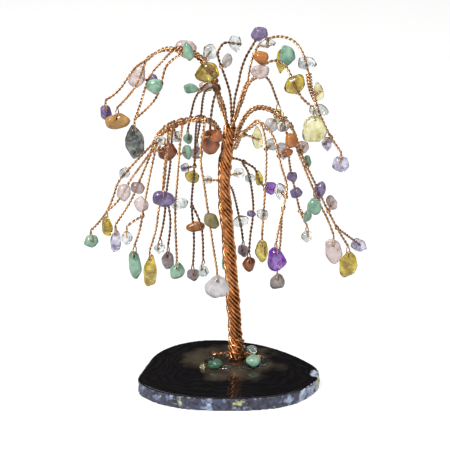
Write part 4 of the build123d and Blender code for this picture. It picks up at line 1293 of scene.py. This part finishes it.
for name, joint in joints.items():
    finish, slot = look_of[name]
    stone = loose_parts("hanging_" + name)[0]
    stone.name = "tumbled_" + name
    tumble(stone)
    drill(stone, joint)
    bpy.ops.object.shade_smooth_by_angle(angle=radians(STONE_CREASE))
    hand_over(stone, GEMS[finish], name + "_stone", slot, "hanging_" + name)
print("Hanging stones:", len(joints))

# %% [markdown]
# ## Agate slice and glue
# The slice's solid is stretched a little to the outline that the photograph shows, up to 2.5 mm outside it,
# and remeshed so that its rim can be broken up like raw rind, while its faces stay flat. The rind's material
# reaches over the edge of the faces. The glue is smoothed to a low dome.

# %%
SLICE_VOXEL = 0.5 * MM
RIM_TILT = 0.5
SLICE_LOW = Vector((-35.6, -33.4, 0.0)) * MM
SLICE_HIGH = Vector((29.9, 16.0, 5.0)) * MM
CRAG_SIZE = 2.2 * MM
CRAG_HEIGHT = 1.1 * MM
CRAG_LEVEL = 0.6
GLUE_VOXEL = 0.25 * MM
GLUE_SMOOTHING = 12

slice_piece = copy_of("agate_slice", "polished_slice")
fit_box(slice_piece, (SLICE_LOW + SLICE_HIGH) / 2, SLICE_HIGH - SLICE_LOW)
refine(slice_piece, SLICE_VOXEL)
apply_modifiers(slice_piece)
rim = [vertex.index for vertex in slice_piece.data.vertices if abs(vertex.normal.z) < RIM_TILT]
rim_group = slice_piece.vertex_groups.new(name="rim")
rim_group.add(rim, 1.0, "REPLACE")
crags = bpy.data.textures.new("Crags", "CLOUDS")
crags.noise_scale = CRAG_SIZE
crags.noise_depth = 3
roughen(slice_piece, crags, CRAG_HEIGHT, CRAG_LEVEL).vertex_group = "rim"
apply_modifiers(slice_piece)

rim_places = KDTree(len(rim))
for index in rim:
    place = slice_piece.data.vertices[index].co
    rim_places.insert((place.x, place.y, 0), index)
rim_places.balance()
from_rim = slice_piece.data.attributes.new("from_rim", "FLOAT", "POINT")
for vertex in slice_piece.data.vertices:
    from_rim.data[vertex.index].value = rim_places.find((vertex.co.x, vertex.co.y, 0))[2]
choose(slice_piece)
bpy.ops.object.shade_smooth_by_angle(angle=radians(STONE_CREASE))
hand_over(slice_piece, AGATE_FACE, "tree", "agate", "agate_slice")
slice_piece.data.materials.append(AGATE_RIND)
rim_set = set(rim)
for face in slice_piece.data.polygons:
    if any(index in rim_set for index in face.vertices):
        face.material_index = 1

glue = copy_of("glue_bed", "glue_dome")
refine(glue, GLUE_VOXEL)
soft = glue.modifiers.new("Soft", "SMOOTH")
soft.iterations = GLUE_SMOOTHING
apply_modifiers(glue)
bpy.ops.object.shade_smooth()
hand_over(glue, GLUE, "tree", "clear_glue", "glue_bed")
print("Slice:", len(slice_piece.data.polygons), "faces, glue:", len(glue.data.polygons), "faces")

# %% [markdown]
# ## Removing the patterns
# The lay units were only patterns, so they go.

# %%
for unit in (twig_lay, root_lay):
    bpy.data.objects.remove(unit)
